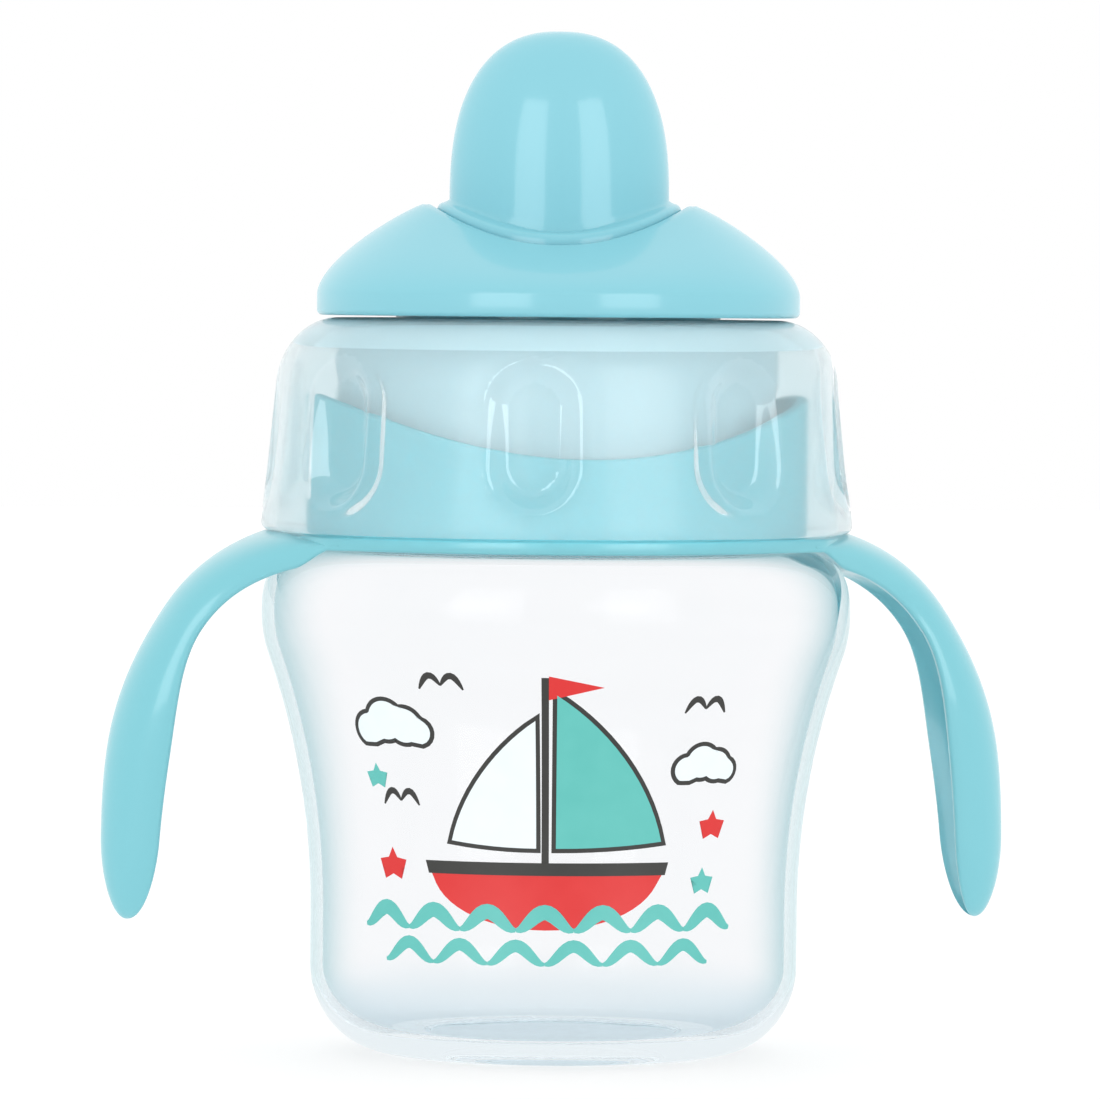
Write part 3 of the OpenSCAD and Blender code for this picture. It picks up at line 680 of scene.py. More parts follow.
class GripTool(NodeTool):
    """Presses a row of upright pill-shaped grips into a round wall."""

    title = "Grip hollows"
    inputs = floats("Count", "Width", "Height", "Floor radius", "Wall", "Middle height", "Edge", "Turn")

    def wire(self) -> bpy.types.NodeSocket:
        """Draw the marked wall in to the floor radius inside each pill, with a soft edge.

        Returns:
            The socket with the shaped geometry.
        """
        self.know_place()
        for name in ("grip", "inner"):
            self.know_mark(name)
        self.chain((
            ("angle", "ARCTAN2", "y", "x"),
            ("turned", "SUBTRACT", "angle", "Turn"),
            ("pitch", "DIVIDE", 2 * math.pi, "Count"),
            ("turns", "DIVIDE", "turned", "pitch"),
            ("nearest", "ROUND", "turns"),
            ("middle", "MULTIPLY", "nearest", "pitch"),
            ("local", "SUBTRACT", "turned", "middle"),
            ("sine", "SINE", "local"),
            ("xx", "MULTIPLY", "x", "x"),
            ("rr", "MULTIPLY_ADD", "y", "y", "xx"),
            ("radius", "SQRT", "rr"),
            ("across", "MULTIPLY", "radius", "sine"),
            ("above", "SUBTRACT", "z", "Middle height"),
            ("away", "ABSOLUTE", "above"),
            ("straight", "SUBTRACT", "Height", "Width"),
            ("half_straight", "MULTIPLY", "straight", 0.5),
            ("past", "SUBTRACT", "away", "half_straight"),
            ("up", "MAXIMUM", "past", 0.0),
            ("up_sq", "MULTIPLY", "up", "up"),
            ("sq", "MULTIPLY_ADD", "across", "across", "up_sq"),
            ("reach", "SQRT", "sq"),
            ("half_width", "MULTIPLY", "Width", 0.5),
            ("behind", "MULTIPLY", "Wall", "inner"),
            ("pill", "ADD", "half_width", "behind"),
            ("outside", "SUBTRACT", "reach", "pill"),
            ("edge_in", "MULTIPLY", "Edge", -1.0),
            ("press", "SMOOTHSTEP", "outside", "edge_in", 0.0, 1.0, 0.0),
            ("floor", "SUBTRACT", "Floor radius", "behind"),
            ("low", "MINIMUM", "floor", "radius"),
            ("drop", "SUBTRACT", "low", "radius"),
            ("share", "DIVIDE", "drop", "radius"),
            ("pressed", "MULTIPLY", "share", "press"),
            ("draw", "MULTIPLY", "pressed", "grip"),
            ("dx", "MULTIPLY", "x", "draw"),
            ("dy", "MULTIPLY", "y", "draw"),
            ("offset", "PLACE", "dx", "dy", 0.0),
        ))
        return self.moved(self.given["Geometry"], "Offset", "offset")


class ThreadTool(NodeTool):
    """Winds a round rib with blunt ends along a screw line.

    Seen from above the spiral climbs clockwise, which makes a left-handed screw.
    """

    title = "Screw thread"
    inputs = floats("Radius", "Pitch", "Turns", "Rib radius", "Start height")
    turn_points = 64
    rib_points = 12

    def wire(self) -> bpy.types.NodeSocket:
        """Sweep a circle along a spiral.

        Returns:
            The socket with the shaped geometry.
        """
        known = self.known
        self.chain((
            ("rise", "MULTIPLY", "Pitch", "Turns"),
            ("start", "PLACE", 0.0, 0.0, "Start height"),
        ))
        line = add(
            self.tree, "GeometryNodeCurveSpiral",
            {
                "Resolution": self.turn_points,
                "Rotations": known["Turns"],
                "Start Radius": known["Radius"],
                "End Radius": known["Radius"],
                "Height": known["rise"],
            },
        )
        raised = add(
            self.tree, "GeometryNodeTransform", {"Geometry": line.outputs[0], "Translation": known["start"]}
        )
        rib = add(
            self.tree, "GeometryNodeCurvePrimitiveCircle",
            {"Resolution": self.rib_points, "Radius": known["Rib radius"]},
        )
        swept = add(
            self.tree, "GeometryNodeCurveToMesh",
            {"Curve": raised.outputs[0], "Profile Curve": rib.outputs[0], "Fill Caps": True},
        )
        return swept.outputs[0]

    def wind(
        self, name: str, finish: Finish, radius: float, rib_r: float, pitch: float, turns: float, low_z: float
    ) -> bpy.types.Object:
        """Make a thread as a piece of its own.

        Args:
            name: Name of the piece.
            finish: Its finish.
            radius: Distance of the rib's middle from the axis.
            rib_r: Radius of the rib.
            pitch: Rise of one turn.
            turns: Number of turns.
            low_z: Height of the lower end.

        Returns:
            The thread, shaded smooth.
        """
        return smooth(self.run(
            new_object(name, bpy.data.meshes.new(name)), finish,
            Radius=radius * MM, Pitch=pitch * MM, Turns=turns,
            Rib_radius=rib_r * MM, Start_height=low_z * MM,
        ))


class PrintTool(NodeTool):
    """Repeats a flat motif along a row and lays the row on the bottle's flared wall."""

    title = "Printed row"
    inputs = (
        ("Count", "NodeSocketInt"),
        *floats("Spacing", "Waist radius", "Flare radius", "Flare start", "Lift", "Turn"),
    )

    def wire(self) -> bpy.types.NodeSocket:
        """Set copies side by side, then bend them round the wall at their height.

        Returns:
            The socket with the shaped geometry.
        """
        known = self.known
        self.chain((
            ("gaps", "SUBTRACT", "Count", 1.0),
            ("length", "MULTIPLY", "gaps", "Spacing"),
            ("left", "MULTIPLY", "length", -0.5),
            ("begin", "PLACE", "left", 0.0, 0.0),
            ("step", "PLACE", "Spacing", 0.0, 0.0),
        ))
        row = add(
            self.tree, "GeometryNodeMeshLine",
            {"Count": known["Count"], "Start Location": known["begin"], "Offset": known["step"]},
            mode="OFFSET",
        )
        copies = add(
            self.tree, "GeometryNodeInstanceOnPoints",
            {"Points": row.outputs[0], "Instance": self.given["Geometry"]},
        )
        whole = add(self.tree, "GeometryNodeRealizeInstances", {"Geometry": copies.outputs[0]})
        self.know_place()
        self.chain((
            ("bend", "DIVIDE", "x", "Waist radius"),
            ("angle", "ADD", "bend", "Turn"),
            ("over", "SUBTRACT", "z", "Flare start"),
            ("high", "MAXIMUM", "over", 0.0),
            ("high_sq", "MULTIPLY", "high", "high"),
            ("flare_sq", "MULTIPLY", "Flare radius", "Flare radius"),
            ("rest_sq", "SUBTRACT", "flare_sq", "high_sq"),
            ("rest", "SQRT", "rest_sq"),
            ("out", "SUBTRACT", "Flare radius", "rest"),
            ("wall", "ADD", "Waist radius", "out"),
            ("film", "ADD", "y", "Lift"),
            ("radius", "ADD", "wall", "film"),
            ("sine", "SINE", "angle"),
            ("cosine", "COSINE", "angle"),
            ("px", "MULTIPLY", "radius", "sine"),
            ("back", "MULTIPLY", "radius", "cosine"),
            ("py", "MULTIPLY", "back", -1.0),
            ("place", "PLACE", "px", "py", "z"),
        ))
        bent = self.moved(whole.outputs[0], "Position", "place")
        return add(self.tree, "GeometryNodeFlipFaces", {"Mesh": bent}).outputs[0]


@dataclass
class Bottle:
    """Clear bottle with a flared side, a screw neck and a foot ring. Sizes in mm."""

    foot_r: float = 21.0
    waist_r: float = 31.1
    hip_r: float = 37.6
    corner_h: float = 11.2
    flare_z: float = 18.0
    hip_z: float = 56.0
    hip_arc_r: float = 16.7
    shoulder_z: float = 64.6
    shoulder_power: float = 2.6
    seat_r: float = 28.6
    neck_r: float = 24.9
    bead_r: float = 26.3
    bead_h: float = 2.1
    rim_z: float = 86.0
    wall: float = 1.6
    seat_wall: float = 0.6
    floor_h: float = 3.0
    foot_ring_w: float = 5.0
    recess_h: float = 1.2
    foot_edge: float = 0.6
    bead_edge: float = 0.4
    bead_slope: float = 0.7
    thread_z: float = 70.6
    rib_out: float = 0.45
    rib_r: float = 0.95
    pitch: float = 4.5
    turns: float = 1.5
    steps: int = 160

    @property
    def arc_sum(self) -> float:
        """Sum of the radii of the two arcs that make the flare."""
        out, rise = self.hip_r - self.waist_r, self.hip_z - self.flare_z
        return (out * out + rise * rise) / (2 * out)

    @property
    def flare_r(self) -> float:
        """Radius of the long hollow arc of the flare."""
        return self.arc_sum - self.hip_arc_r

    def outline(self, inset: float, bottom: float) -> list[Point]:
        """Side of the bottle moved inwards.

        Args:
            inset: How far it is moved.
            bottom: Height of its lowest point.

        Returns:
            Points as radius and height, from the foot to the shoulder.
        """
        join = math.degrees(math.asin((self.hip_z - self.flare_z) / self.arc_sum))
        flare, hip = self.flare_r + inset, self.hip_arc_r - inset
        foot = (self.foot_r, self.corner_h)
        wide = self.hip_r - self.seat_r - inset
        tall = self.shoulder_z - self.hip_z - min(inset, self.seat_wall)
        k = 2 / self.shoulder_power
        bend = arc((0, 0), 1, 1, 1, 89.99, 36)
        return [
            *arc(foot, self.waist_r - self.foot_r - inset, self.corner_h - bottom, -90, 0, 20),
            *arc((self.waist_r + self.flare_r, self.flare_z), flare, flare, 180, 180 - join, 24),
            *arc((self.hip_r - self.hip_arc_r, self.hip_z), hip, hip, -join, 0, 8)[1:],
            *((self.seat_r + wide * x ** k, self.hip_z + tall * z ** k) for x, z in bend),
        ]

    def profile(self) -> list[Point]:
        """Whole section of the bottle.

        Returns:
            Points as radius and height, from the foot's middle round to the floor's middle.
        """
        foot_in = self.foot_r - self.foot_ring_w
        neck_in = self.neck_r - self.wall
        lip = self.wall / 2
        bead_top = self.shoulder_z + self.bead_h
        slope = 2 * self.recess_h
        return [
            (foot_in / 2, self.recess_h),
            (foot_in - slope, self.recess_h),
            *arc((foot_in - slope, 0), slope, self.recess_h, 60, 10, 5),
            (foot_in + self.foot_edge, 0.0),
            *self.outline(0, 0),
            (self.bead_r, self.shoulder_z),
            (self.bead_r, bead_top - self.bead_edge),
            (self.bead_r - self.bead_edge, bead_top),
            (self.neck_r, bead_top + self.bead_slope),
            *arc((self.neck_r - lip, self.rim_z - lip), lip, lip, 0, 180, 10),
            (neck_in, self.shoulder_z - self.seat_wall),
            *self.outline(self.wall, self.floor_h)[::-1],
            (self.foot_r / 2, self.floor_h),
        ]

    def build(self, thread: ThreadTool) -> None:
        """Make and dress the bottle and its screw thread.

        Args:
            thread: Tool that winds the thread.
        """
        rings = [circle_ring(r, z, self.steps) for r, z in self.profile()]
        poles = ((0, 0, self.recess_h), (0, 0, self.floor_h))
        shell = new_object("bottle_shell", skin_mesh("bottle_shell", rings, poles))
        dress(shell, CLEAR)
        settle(smooth(shell), Body.BOTTLE, ["bottle"])
        radius = self.neck_r + self.rib_out
        rib = thread.wind("neck_thread", CLEAR, radius, self.rib_r, self.pitch, self.turns, self.thread_z)
        settle(rib, Body.BOTTLE)


@dataclass
class HandleFrame:
    """Ring with a wavy skirt and two handles that reach down beside the bottle.

    Sizes are in mm. Names that end in _at are shares of a handle's length, from the ring to the tip,
    and names that end in _share are shares of another size.
    """

    bottle: Bottle
    ring_in_r: float = 26.7
    ring_r: float = 34.31
    ring_z: float = 64.8
    ring_lip: float = 0.4
    ring_t: float = 1.3
    skirt_r: float = 31.91
    skirt_t: float = 1.6
    skirt_low_h: float = 10.1
    skirt_wave_h: float = 7.7
    reach: float = 54.7
    tip_z: float = 17.0
    width: float = 16.4
    root_w: float = 39.0
    root_t: float = 4.8
    thick: float = 7.4
    hollow: float = 4.2
    bow: float = 4.4
    bow_drop_share: float = 1.5
    bulge: float = 0.3
    bulge_share: float = 0.64
    ring_end_at: float = 0.1
    hollow_start_at: float = 0.12
    root_end_at: float = 0.42
    narrow_at: float = 0.6
    narrow_share: float = 0.35
    full_at: float = 0.74
    thin_at: float = 0.75
    thin_share: float = 0.3
    tip_at: float = 0.88
    edge_r: float = 0.55
    edge_t_share: float = 0.25
    edge_w_share: float = 0.1
    hollow_t_share: float = 0.58
    hollow_w_share: float = 0.86
    hollow_power: int = 5
    root_power: float = 0.4
    round_power: float = 0.9
    web_deg: float = 50.0
    web_r: float = 36.6
    web_gap: float = 1.0
    collar_r: float = 37.7
    move_gap: float = 0.3
    under_gap: float = 0.2
    cutter_h: float = 20.0
    shoulder_gap: float = 0.4
    ring_edge: float = 0.35
    ring_edge_w: float = 2.0
    skirt_fillet: float = 0.6
    skirt_edge: float = 0.5
    ring_steps: int = 240
    stations: int = 110
    tip_stations: int = 24
    tip_end_deg: float = 88.0
    back_steps: int = 36
    edge_steps: int = 5
    hollow_steps: int = 28

    @property
    def ring_top(self) -> float:
        """Height of the ring's upper face."""
        return self.ring_z + self.ring_t

    def path(self, t: float) -> tuple[Point, Point]:
        """Middle line of a handle.

        Args:
            t: Share of its length, from the ring to the tip.

        Returns:
            The point as distance and height, and the direction across it, outwards.
        """
        line = (
            (self.skirt_r - self.skirt_t, self.ring_z + self.ring_t / 2),
            (self.reach - self.bow, self.ring_z - self.bow_drop_share * self.ring_t),
            (self.reach + self.bulge, self.bulge_share * self.ring_z + (1 - self.bulge_share) * self.tip_z),
            (self.reach, self.tip_z),
        )
        tiny = 1e-4
        ahead, behind = cubic(line, t + tiny), cubic(line, t - tiny)
        dx, dz = ahead[0] - behind[0], ahead[1] - behind[1]
        size = math.hypot(dx, dz)
        return cubic(line, t), (-dz / size, dx / size)

    def half_width(self, t: float) -> float:
        """Half of the handle's width at t."""
        wide = self.width + (self.root_w - self.width) * (1 - min(1.0, t / self.root_end_at)) ** 2
        return wide / 2 * (1 - self.narrow_share * ease(t, self.narrow_at))

    def thickness(self, t: float) -> float:
        """Thickness of the handle at t.

        Args:
            t: Share of the handle's length.

        Returns:
            The thickness without the rounding of the tip.
        """
        swell = (self.thick - self.root_t) * ease(t, self.root_end_at, self.full_at)
        swell *= 1 - self.thin_share * ease(t, self.thin_at)
        return self.ring_t + (self.root_t - self.ring_t) * ease(t, 0, self.ring_end_at) + swell

    def section(self, t: float) -> list[Point]:
        """Section of a handle at t: a back that is square at the root and round below, and a deep hollow.

        Args:
            t: Share of the handle's length.

        Returns:
            Points as distance across and outwards.
        """
        past = max(0.0, (t - self.tip_at) / (1 - self.tip_at))
        scale = math.sqrt(max(0.0, 1 - past * past))
        w, d = self.half_width(t) * scale, self.thickness(t) * scale
        edge = min(self.edge_r, self.edge_t_share * d, self.edge_w_share * w)
        deep = min(self.hollow, self.hollow_t_share * self.thickness(t)) * scale
        deep *= ease(t, self.hollow_start_at, self.root_end_at)
        power = self.root_power + (self.round_power - self.root_power) * ease(t, 0, self.root_end_at)
        tiny = 1e-6
        low = math.asin(max(tiny, min(1.0, edge / max(d, tiny))) ** (1 / power))
        back = [low + (math.pi - 2 * low) * i / self.back_steps for i in range(self.back_steps + 1)]
        across = [
            math.sin(math.radians(90 * (2 * i / self.hollow_steps - 1))) for i in range(self.hollow_steps + 1)
        ]
        wide, power_in = self.hollow_w_share * w, self.hollow_power
        return [
            *((w * math.cos(a), d * (math.sin(a) ** power - 0.5)) for a in back),
            *arc((-(w - edge), -d / 2 + edge), edge, edge, 180, 270, self.edge_steps)[1:],
            *((wide * u, -d / 2 + deep * (1 - abs(u) ** power_in)) for u in across),
            *arc((w - edge, -d / 2 + edge), edge, edge, 270, 360, self.edge_steps)[:-1],
        ]

    def handle_mesh(self, side: float) -> bpy.types.Mesh:
        """Mesh of one handle, not yet cut to its place.

        Args:
            side: 1 for the handle towards +X, -1 for the other.

        Returns:
            The closed mesh.
        """
        body = [self.tip_at * i / self.stations for i in range(self.stations)]
        turns = [math.radians(self.tip_end_deg * i / self.tip_stations) for i in range(self.tip_stations + 1)]
        end = [self.tip_at + (1 - self.tip_at) * math.sin(a) for a in turns]
        rings = []
        for t in body + end:
            at, out = self.path(t)
            points = [(at[0] + out[0] * v, u, at[1] + out[1] * v) for u, v in self.section(t)]
            rings.append(np.array([(side * r, side * y, z) for r, y, z in points]))
        tip = self.path(1.0)[0]
        poles = (rings[0].mean(0), (side * tip[0], 0.0, tip[1]))
        mesh = skin_mesh("handle", rings, poles)
        n, sides = len(rings[0]), (len(rings) - 1) * len(rings[0])
        # Faces of the hollow get the second material, with its painted shade.
        hollow = self.back_steps + 1 + self.edge_steps
        for face in mesh.polygons[:sides]:
            face.material_index = int(hollow <= face.index % n < hollow + self.hollow_steps)
        return mesh

    def cutters(self) -> list[bpy.types.Object]:
        """Make the shapes that keep the handles clear of the bottle and of the collar.

        Returns:
            Objects with closed meshes.
        """
        gap, n = self.shoulder_gap, self.bottle.steps
        bottle = [circle_ring(r, z, n) for r, z in self.bottle.outline(-gap, -gap)]
        low = self.ring_top + self.under_gap
        high = low + self.cutter_h
        collar = [circle_ring(self.collar_r + self.move_gap, z, n) for z in (low, high)]
        shapes = (
            ("bottle_cutter", bottle, ((0, 0, -gap), (0, 0, self.bottle.shoulder_z + gap))),
            ("collar_cutter", collar, ((0, 0, low), (0, 0, high))),
        )
        return [new_object(name, skin_mesh(name, rings, poles)) for name, rings, poles in shapes]

    def ring_mesh(self) -> bpy.types.Mesh:
        """Mesh of the ring and its skirt.

        Returns:
            The closed mesh, with the skirt's edge marked for the wave.
        """
        e, f, s = self.ring_edge, self.skirt_fillet, self.skirt_edge
        top = self.ring_top + self.skirt_low_h + self.skirt_wave_h / 2
        skirt_in = self.skirt_r - self.skirt_t
        low_edge = (self.ring_r - e, self.ring_z - self.ring_lip + e)
        flat = [
            (self.ring_in_r, self.ring_z),
            (self.ring_r - self.ring_edge_w, self.ring_z),
            *arc(low_edge, e, e, -90, 0, 4),
            *arc((self.ring_r - e, self.ring_top - e), e, e, 0, 90, 4),
            *arc((self.skirt_r + f, self.ring_top + f), f, f, 270, 180, 4),
        ]
        wavy = [
            *arc((self.skirt_r - s, top - s), s, s, 0, 90, 5),
            *arc((skirt_in + s, top - s), s, s, 90, 180, 5),
        ]
        inside = [(skirt_in, self.ring_top), (self.ring_in_r, self.ring_top)]
        rings = [circle_ring(r, z, self.ring_steps) for r, z in flat + wavy + inside]
        for ring in rings:
            if math.hypot(*ring[0][:2]) > self.skirt_r + self.web_gap:
                ring[:, :2] *= self.webbed(ring)[:, None]
        return skin_mesh("ring", rings, None, {"wave": [0] * len(flat) + [1] * len(wavy) + [0] * len(inside)})

    def webbed(self, ring: np.ndarray) -> np.ndarray:
        """Draw the ring's edge out along lines that lead into the handles' roots.

        Args:
            ring: Points of the ring.

        Returns:
            How many times further out each point lies.
        """
        beside = np.degrees(np.arctan2(np.abs(ring[:, 1]), np.abs(ring[:, 0])))
        drawn = 1 / np.cos(np.radians(np.maximum(0, self.web_deg - beside)))
        return np.minimum(drawn, self.web_r / self.ring_r)

    def build(self, wave: WaveTool) -> None:
        """Make and dress the ring, its skirt and the two handles as one piece.

        Args:
            wave: Tool that gives the skirt its wavy edge.
        """
        piece = wave.run(
            new_object("handle_ring", self.ring_mesh()), AQUA_PAINTED_SHADE,
            Wave_height=self.skirt_wave_h / 2 * MM, Turn=0.0,
        )
        work = bmesh.new()
        for side in (1.0, -1.0):
            work.from_mesh(self.handle_mesh(side))
        mesh = bpy.data.meshes.new("handles")
        work.to_mesh(mesh)
        handles = new_object("handles", mesh)
        # The handles get the deeper colour of painted shade, and their hollows a deeper painted shade still.
        for finish in (AQUA_PAINTED_SHADE, AQUA_HOLLOW_PAINTED_SHADE):
            mesh.materials.append(finish.material())
        carve(handles, self.cutters())
        work.clear()
        work.from_mesh(piece.data)
        work.from_mesh(handles.data)
        work.to_mesh(piece.data)
        work.free()
        bpy.data.objects.remove(handles)
        dress(piece, AQUA_PAINTED_SHADE)
        for finish in (AQUA_HOLLOW_PAINTED_SHADE, AQUA_MATT_PAINTED_SHADE):
            piece.data.materials.append(finish.material())
        # Faces above the ring's top get the sand-finished aqua, with its painted shade.
        matt_painted_shade = 2
        for face in piece.data.polygons:
            if face.center.z > (self.ring_top + self.skirt_edge) * MM:
                face.material_index = matt_painted_shade
        settle(smooth(piece), Body.HANDLES, ["handle_frame"])


@dataclass
class Collar:
    """Frosted screw collar with a rounded shoulder, grips and an inner sleeve. Sizes in mm."""

    low_z: float = 66.4
    top_z: float = 93.5
    low_r: float = 37.7
    draft_deg: float = 5.6
    round_w: float = 8.0
    round_h: float = 9.5
    wall: float = 1.8
    lip: float = 1.0
    opening_r: float = 21.0
    crown_wall: float = 0.7
    crown_z: float = 89.6
    sleeve_r: float = 26.7
    sleeve_out_r: float = 28.1
    grip_count: int = 8
    grip_w: float = 12.5
    grip_h: float = 19.6
    grip_floor_r: float = 34.41
    grip_wall: float = 1.5
    grip_z: float = 79.1
    grip_turn_deg: float = -12.7
    grip_edge: float = 3.2
    row_gap: float = 0.34
    round_steps: int = 36
    opening_edge: float = 0.4
    sleeve_gap: float = 0.1
    under_tilt: float = -0.2
    thread_z: float = 72.85
    rib_in: float = 0.4
    rib_r: float = 0.8
    pitch: float = 4.5
    turns: float = 1.5
    steps: int = 480

    def bell(self, inset: float) -> list[Point]:
        """Outline of the bell, moved inwards, from its lower edge to its top.

        Args:
            inset: How far it is moved.

        Returns:
            Points as radius and height, close enough to take the grips.
        """
        slope = math.tan(math.radians(self.draft_deg))
        start = math.degrees(math.atan(slope * self.round_h / self.round_w))
        round_z = self.top_z - self.round_h
        side_z = round_z + self.round_h * math.sin(math.radians(start))
        side_r = self.low_r - (side_z - self.low_z - self.lip) * slope
        round_r = side_r - self.round_w * math.cos(math.radians(start))
        wide, high = self.round_w - inset, self.round_h - min(inset, self.crown_wall)
        crown = arc((round_r, round_z), wide, high, start, 90, self.round_steps)
        return [*spread((self.low_r - inset, self.low_z + self.lip), crown[0], self.row_gap), *crown]

    def on_grip_edge(self, x: float, y: float, z: float) -> bool:
        """Whether a point of the wall is on the soft edge of a grip.

        Args:
            x: Distance to the right.
            y: Distance back.
            z: Height.

        Returns:
            True on the edge.
        """
        pitch = 2 * math.pi / self.grip_count
        angle = math.atan2(y, x) - math.radians(self.grip_turn_deg)
        across = math.hypot(x, y) * math.sin(angle - round(angle / pitch) * pitch)
        up = max(0.0, abs(z - self.grip_z) - (self.grip_h - self.grip_w) / 2)
        return -self.grip_edge < math.hypot(across, up) - self.grip_w / 2 < 0

    def build(self, grips: GripTool, thread: ThreadTool) -> None:
        """Make and dress the collar and its inner screw thread.

        Args:
            grips: Tool that presses in the grips.
            thread: Tool that winds the thread.
        """
        lip = arc((self.low_r - self.lip, self.low_z + self.lip), self.lip, self.lip, -90, 0, 5)[:-1]
        e = self.opening_edge
        flange_z = self.top_z - self.crown_wall
        outside, inside = self.bell(0), self.bell(self.wall)[::-1]
        foot = [(self.low_r - self.wall, self.low_z), *lip]
        sleeve = [
            *arc((self.opening_r + e, self.top_z - e), e, e, 90, 180, 4),
            (self.opening_r, flange_z),
            (self.sleeve_r, flange_z),
            (self.sleeve_r, self.low_z),
            (self.sleeve_out_r, self.low_z),
            (self.sleeve_out_r, flange_z),
        ]
        groups = ((foot, 0, 0), (outside, 1, 0), (sleeve, 0, 0), (inside, 1, 1))
        rings = [circle_ring(r, z, self.steps) for points, _, _ in groups for r, z in points]
        marks = {
            "grip": [grip for points, grip, _ in groups for _ in points],
            "inner": [inner for points, _, inner in groups for _ in points],
        }
        bell = grips.run(
            new_object("collar_bell", skin_mesh("collar_bell", rings, None, marks)), FROSTED,
            Count=float(self.grip_count), Width=self.grip_w * MM, Height=self.grip_h * MM,
            Floor_radius=self.grip_floor_r * MM, Wall=self.grip_wall * MM, Middle_height=self.grip_z * MM,
            Edge=self.grip_edge * MM, Turn=math.radians(self.grip_turn_deg),
        )
        for finish in (SANDED, POLISHED):
            bell.data.materials.append(finish.material())
        sanded, polished = 1, 2
        for face in bell.data.polygons:
            at = face.center / MM
            on_sleeve = at.xy.length < self.sleeve_out_r + self.sleeve_gap and at.z < flange_z
            if on_sleeve or (face.normal.z < self.under_tilt and at.z > self.crown_z):
                face.material_index = sanded
            elif face.normal.xy.dot(at.xy) > 0 and self.on_grip_edge(*at):
                face.material_index = polished
        settle(smooth(bell, sharp_deg=50), Body.COLLAR, ["screw_collar"])
        radius = self.sleeve_r - self.rib_in
        rib = thread.wind("collar_thread", FROSTED, radius, self.rib_r, self.pitch, self.turns, self.thread_z)
        settle(rib, Body.COLLAR)


@dataclass
class Lid:
    """Aqua lid with a saddle-shaped opening, a socket for the cap and a hub in the collar. Sizes in mm."""

    low_r: float = 30.8
    low_z: float = 93.8
    lip_h: float = 2.7
    lip_edge: float = 0.7
    rim_z: float = 105.4
    wave: float = 2.6
    wall: float = 1.7
    socket_r: float = 15.95
    rim_w: float = 1.5
    ledge_z: float = 98.0
    ledge_r: float = 13.6
    ledge_t: float = 1.5
    tube_out_r: float = 17.75
    hub_r: float = 20.7
    hub_wall: float = 1.7
    hub_z: float = 90.6
    hub_bead_r: float = 21.5
    hub_bead_top: float = 91.5
    crown_share: float = 1.2
    draft: float = 0.2
    shoulder_share: float = 0.88
    outer_shares: Point = (0.36, 0.27)
    inner_shares: Point = (0.22, 0.24)
    inner_drop: float = 0.5
    rim_round: float = 0.6
    turn_deg: float = -8.0
    steps: int = 288

    def section(self, rim: float) -> list[Point]:
        """Closed section of the lid where its opening's edge has a given height.

        Args:
            rim: Height of the edge.

        Returns:
            Points as radius and height.
        """
        lip_top = self.low_z + self.lip_h
        rise = rim - lip_top
        rim_out = self.socket_r + self.rim_w
        crown = self.crown_share * self.wall
        shoulder = lip_top + self.shoulder_share * rise
        out_up, out_across = self.outer_shares
        in_up, in_across = self.inner_shares
        outer = (
            (self.low_r, lip_top),
            (self.low_r - self.draft, lip_top + out_up * rise),
            (rim_out + out_across * (self.low_r - rim_out), shoulder),
            (rim_out, rim),
        )
        inner = (
            (self.tube_out_r, rim - crown),
            (self.tube_out_r + in_across * (self.low_r - self.tube_out_r), shoulder - crown),
            (self.low_r - self.wall - self.draft, lip_top + in_up * rise),
            (self.low_r - self.wall, lip_top - self.inner_drop),
        )
        e, half, tall = self.lip_edge, self.rim_w / 2, self.rim_round
        hub_in = self.hub_r - self.hub_wall
        return [
            *arc((self.low_r - e, self.low_z + e), e, e, -90, 0, 5),
            *(cubic(outer, i / 28) for i in range(29)),
            *arc((self.socket_r + half, rim - tall), half, tall, 75, 180, 7),
            (self.socket_r, self.ledge_z),
            (self.ledge_r, self.ledge_z),
            (self.ledge_r, self.ledge_z - self.ledge_t),
            (hub_in, self.ledge_z - self.ledge_t),
            (hub_in, self.hub_z),
            (self.hub_r, self.hub_z),
            (self.hub_bead_r, (self.hub_z + self.hub_bead_top) / 2),
            (self.hub_bead_r, self.hub_bead_top),
            (self.hub_r, self.hub_bead_top),
            (self.hub_r, self.ledge_z),
            (self.tube_out_r, self.ledge_z),
            *(cubic(inner, i / 14) for i in range(15)),
            (self.low_r - self.wall, self.low_z),
        ]

    def build(self, wave: WaveTool) -> None:
        """Make and dress the lid.

        Args:
            wave: Tool that gives the opening its saddle shape.
        """
        section = self.section(self.rim_z)
        lifted = self.section(self.rim_z + 1)
        rings = [circle_ring(r, z, self.steps) for r, z in section]
        # A row's mark is how far it rises where the opening's edge rises by 1 mm.
        marks = {"wave": [b[1] - a[1] for a, b in zip(section, lifted)]}
        piece = wave.run(
            new_object("lid_shell", skin_mesh("lid_shell", rings, None, marks)), AQUA,
            Wave_height=self.wave * MM, Turn=math.radians(self.turn_deg),
        )
        settle(smooth(piece), Body.LID, ["lid"])


@dataclass
class Dome:
    """Rounded oval dome of the cap and of the spout under it. Sizes in mm."""

    half_w: float
    half_d: float
    low_z: float
    height: float
    rows: int
    steps: int
    wide_power: float = 2.4
    tall_power: float = 2.5
    end_deg: float = 89.0
    crowding: float = 1.15

    def rings(self, inset: float) -> list[np.ndarray]:
        """Rings of the dome moved inwards, from its foot to near its tip.

        Args:
            inset: How far it is moved.

        Returns:
            The rings, closer together near the foot.
        """
        made = []
        for i in range(1, self.rows + 1):
            a = math.radians(self.end_deg * (i / self.rows) ** self.crowding)
            out, up = math.cos(a) ** (2 / self.wide_power), math.sin(a) ** (2 / self.tall_power)
            z = self.low_z + (self.height - inset) * up
            made.append(oval_ring(self.half_w, self.half_d, z, self.steps, inset, out))
        return made


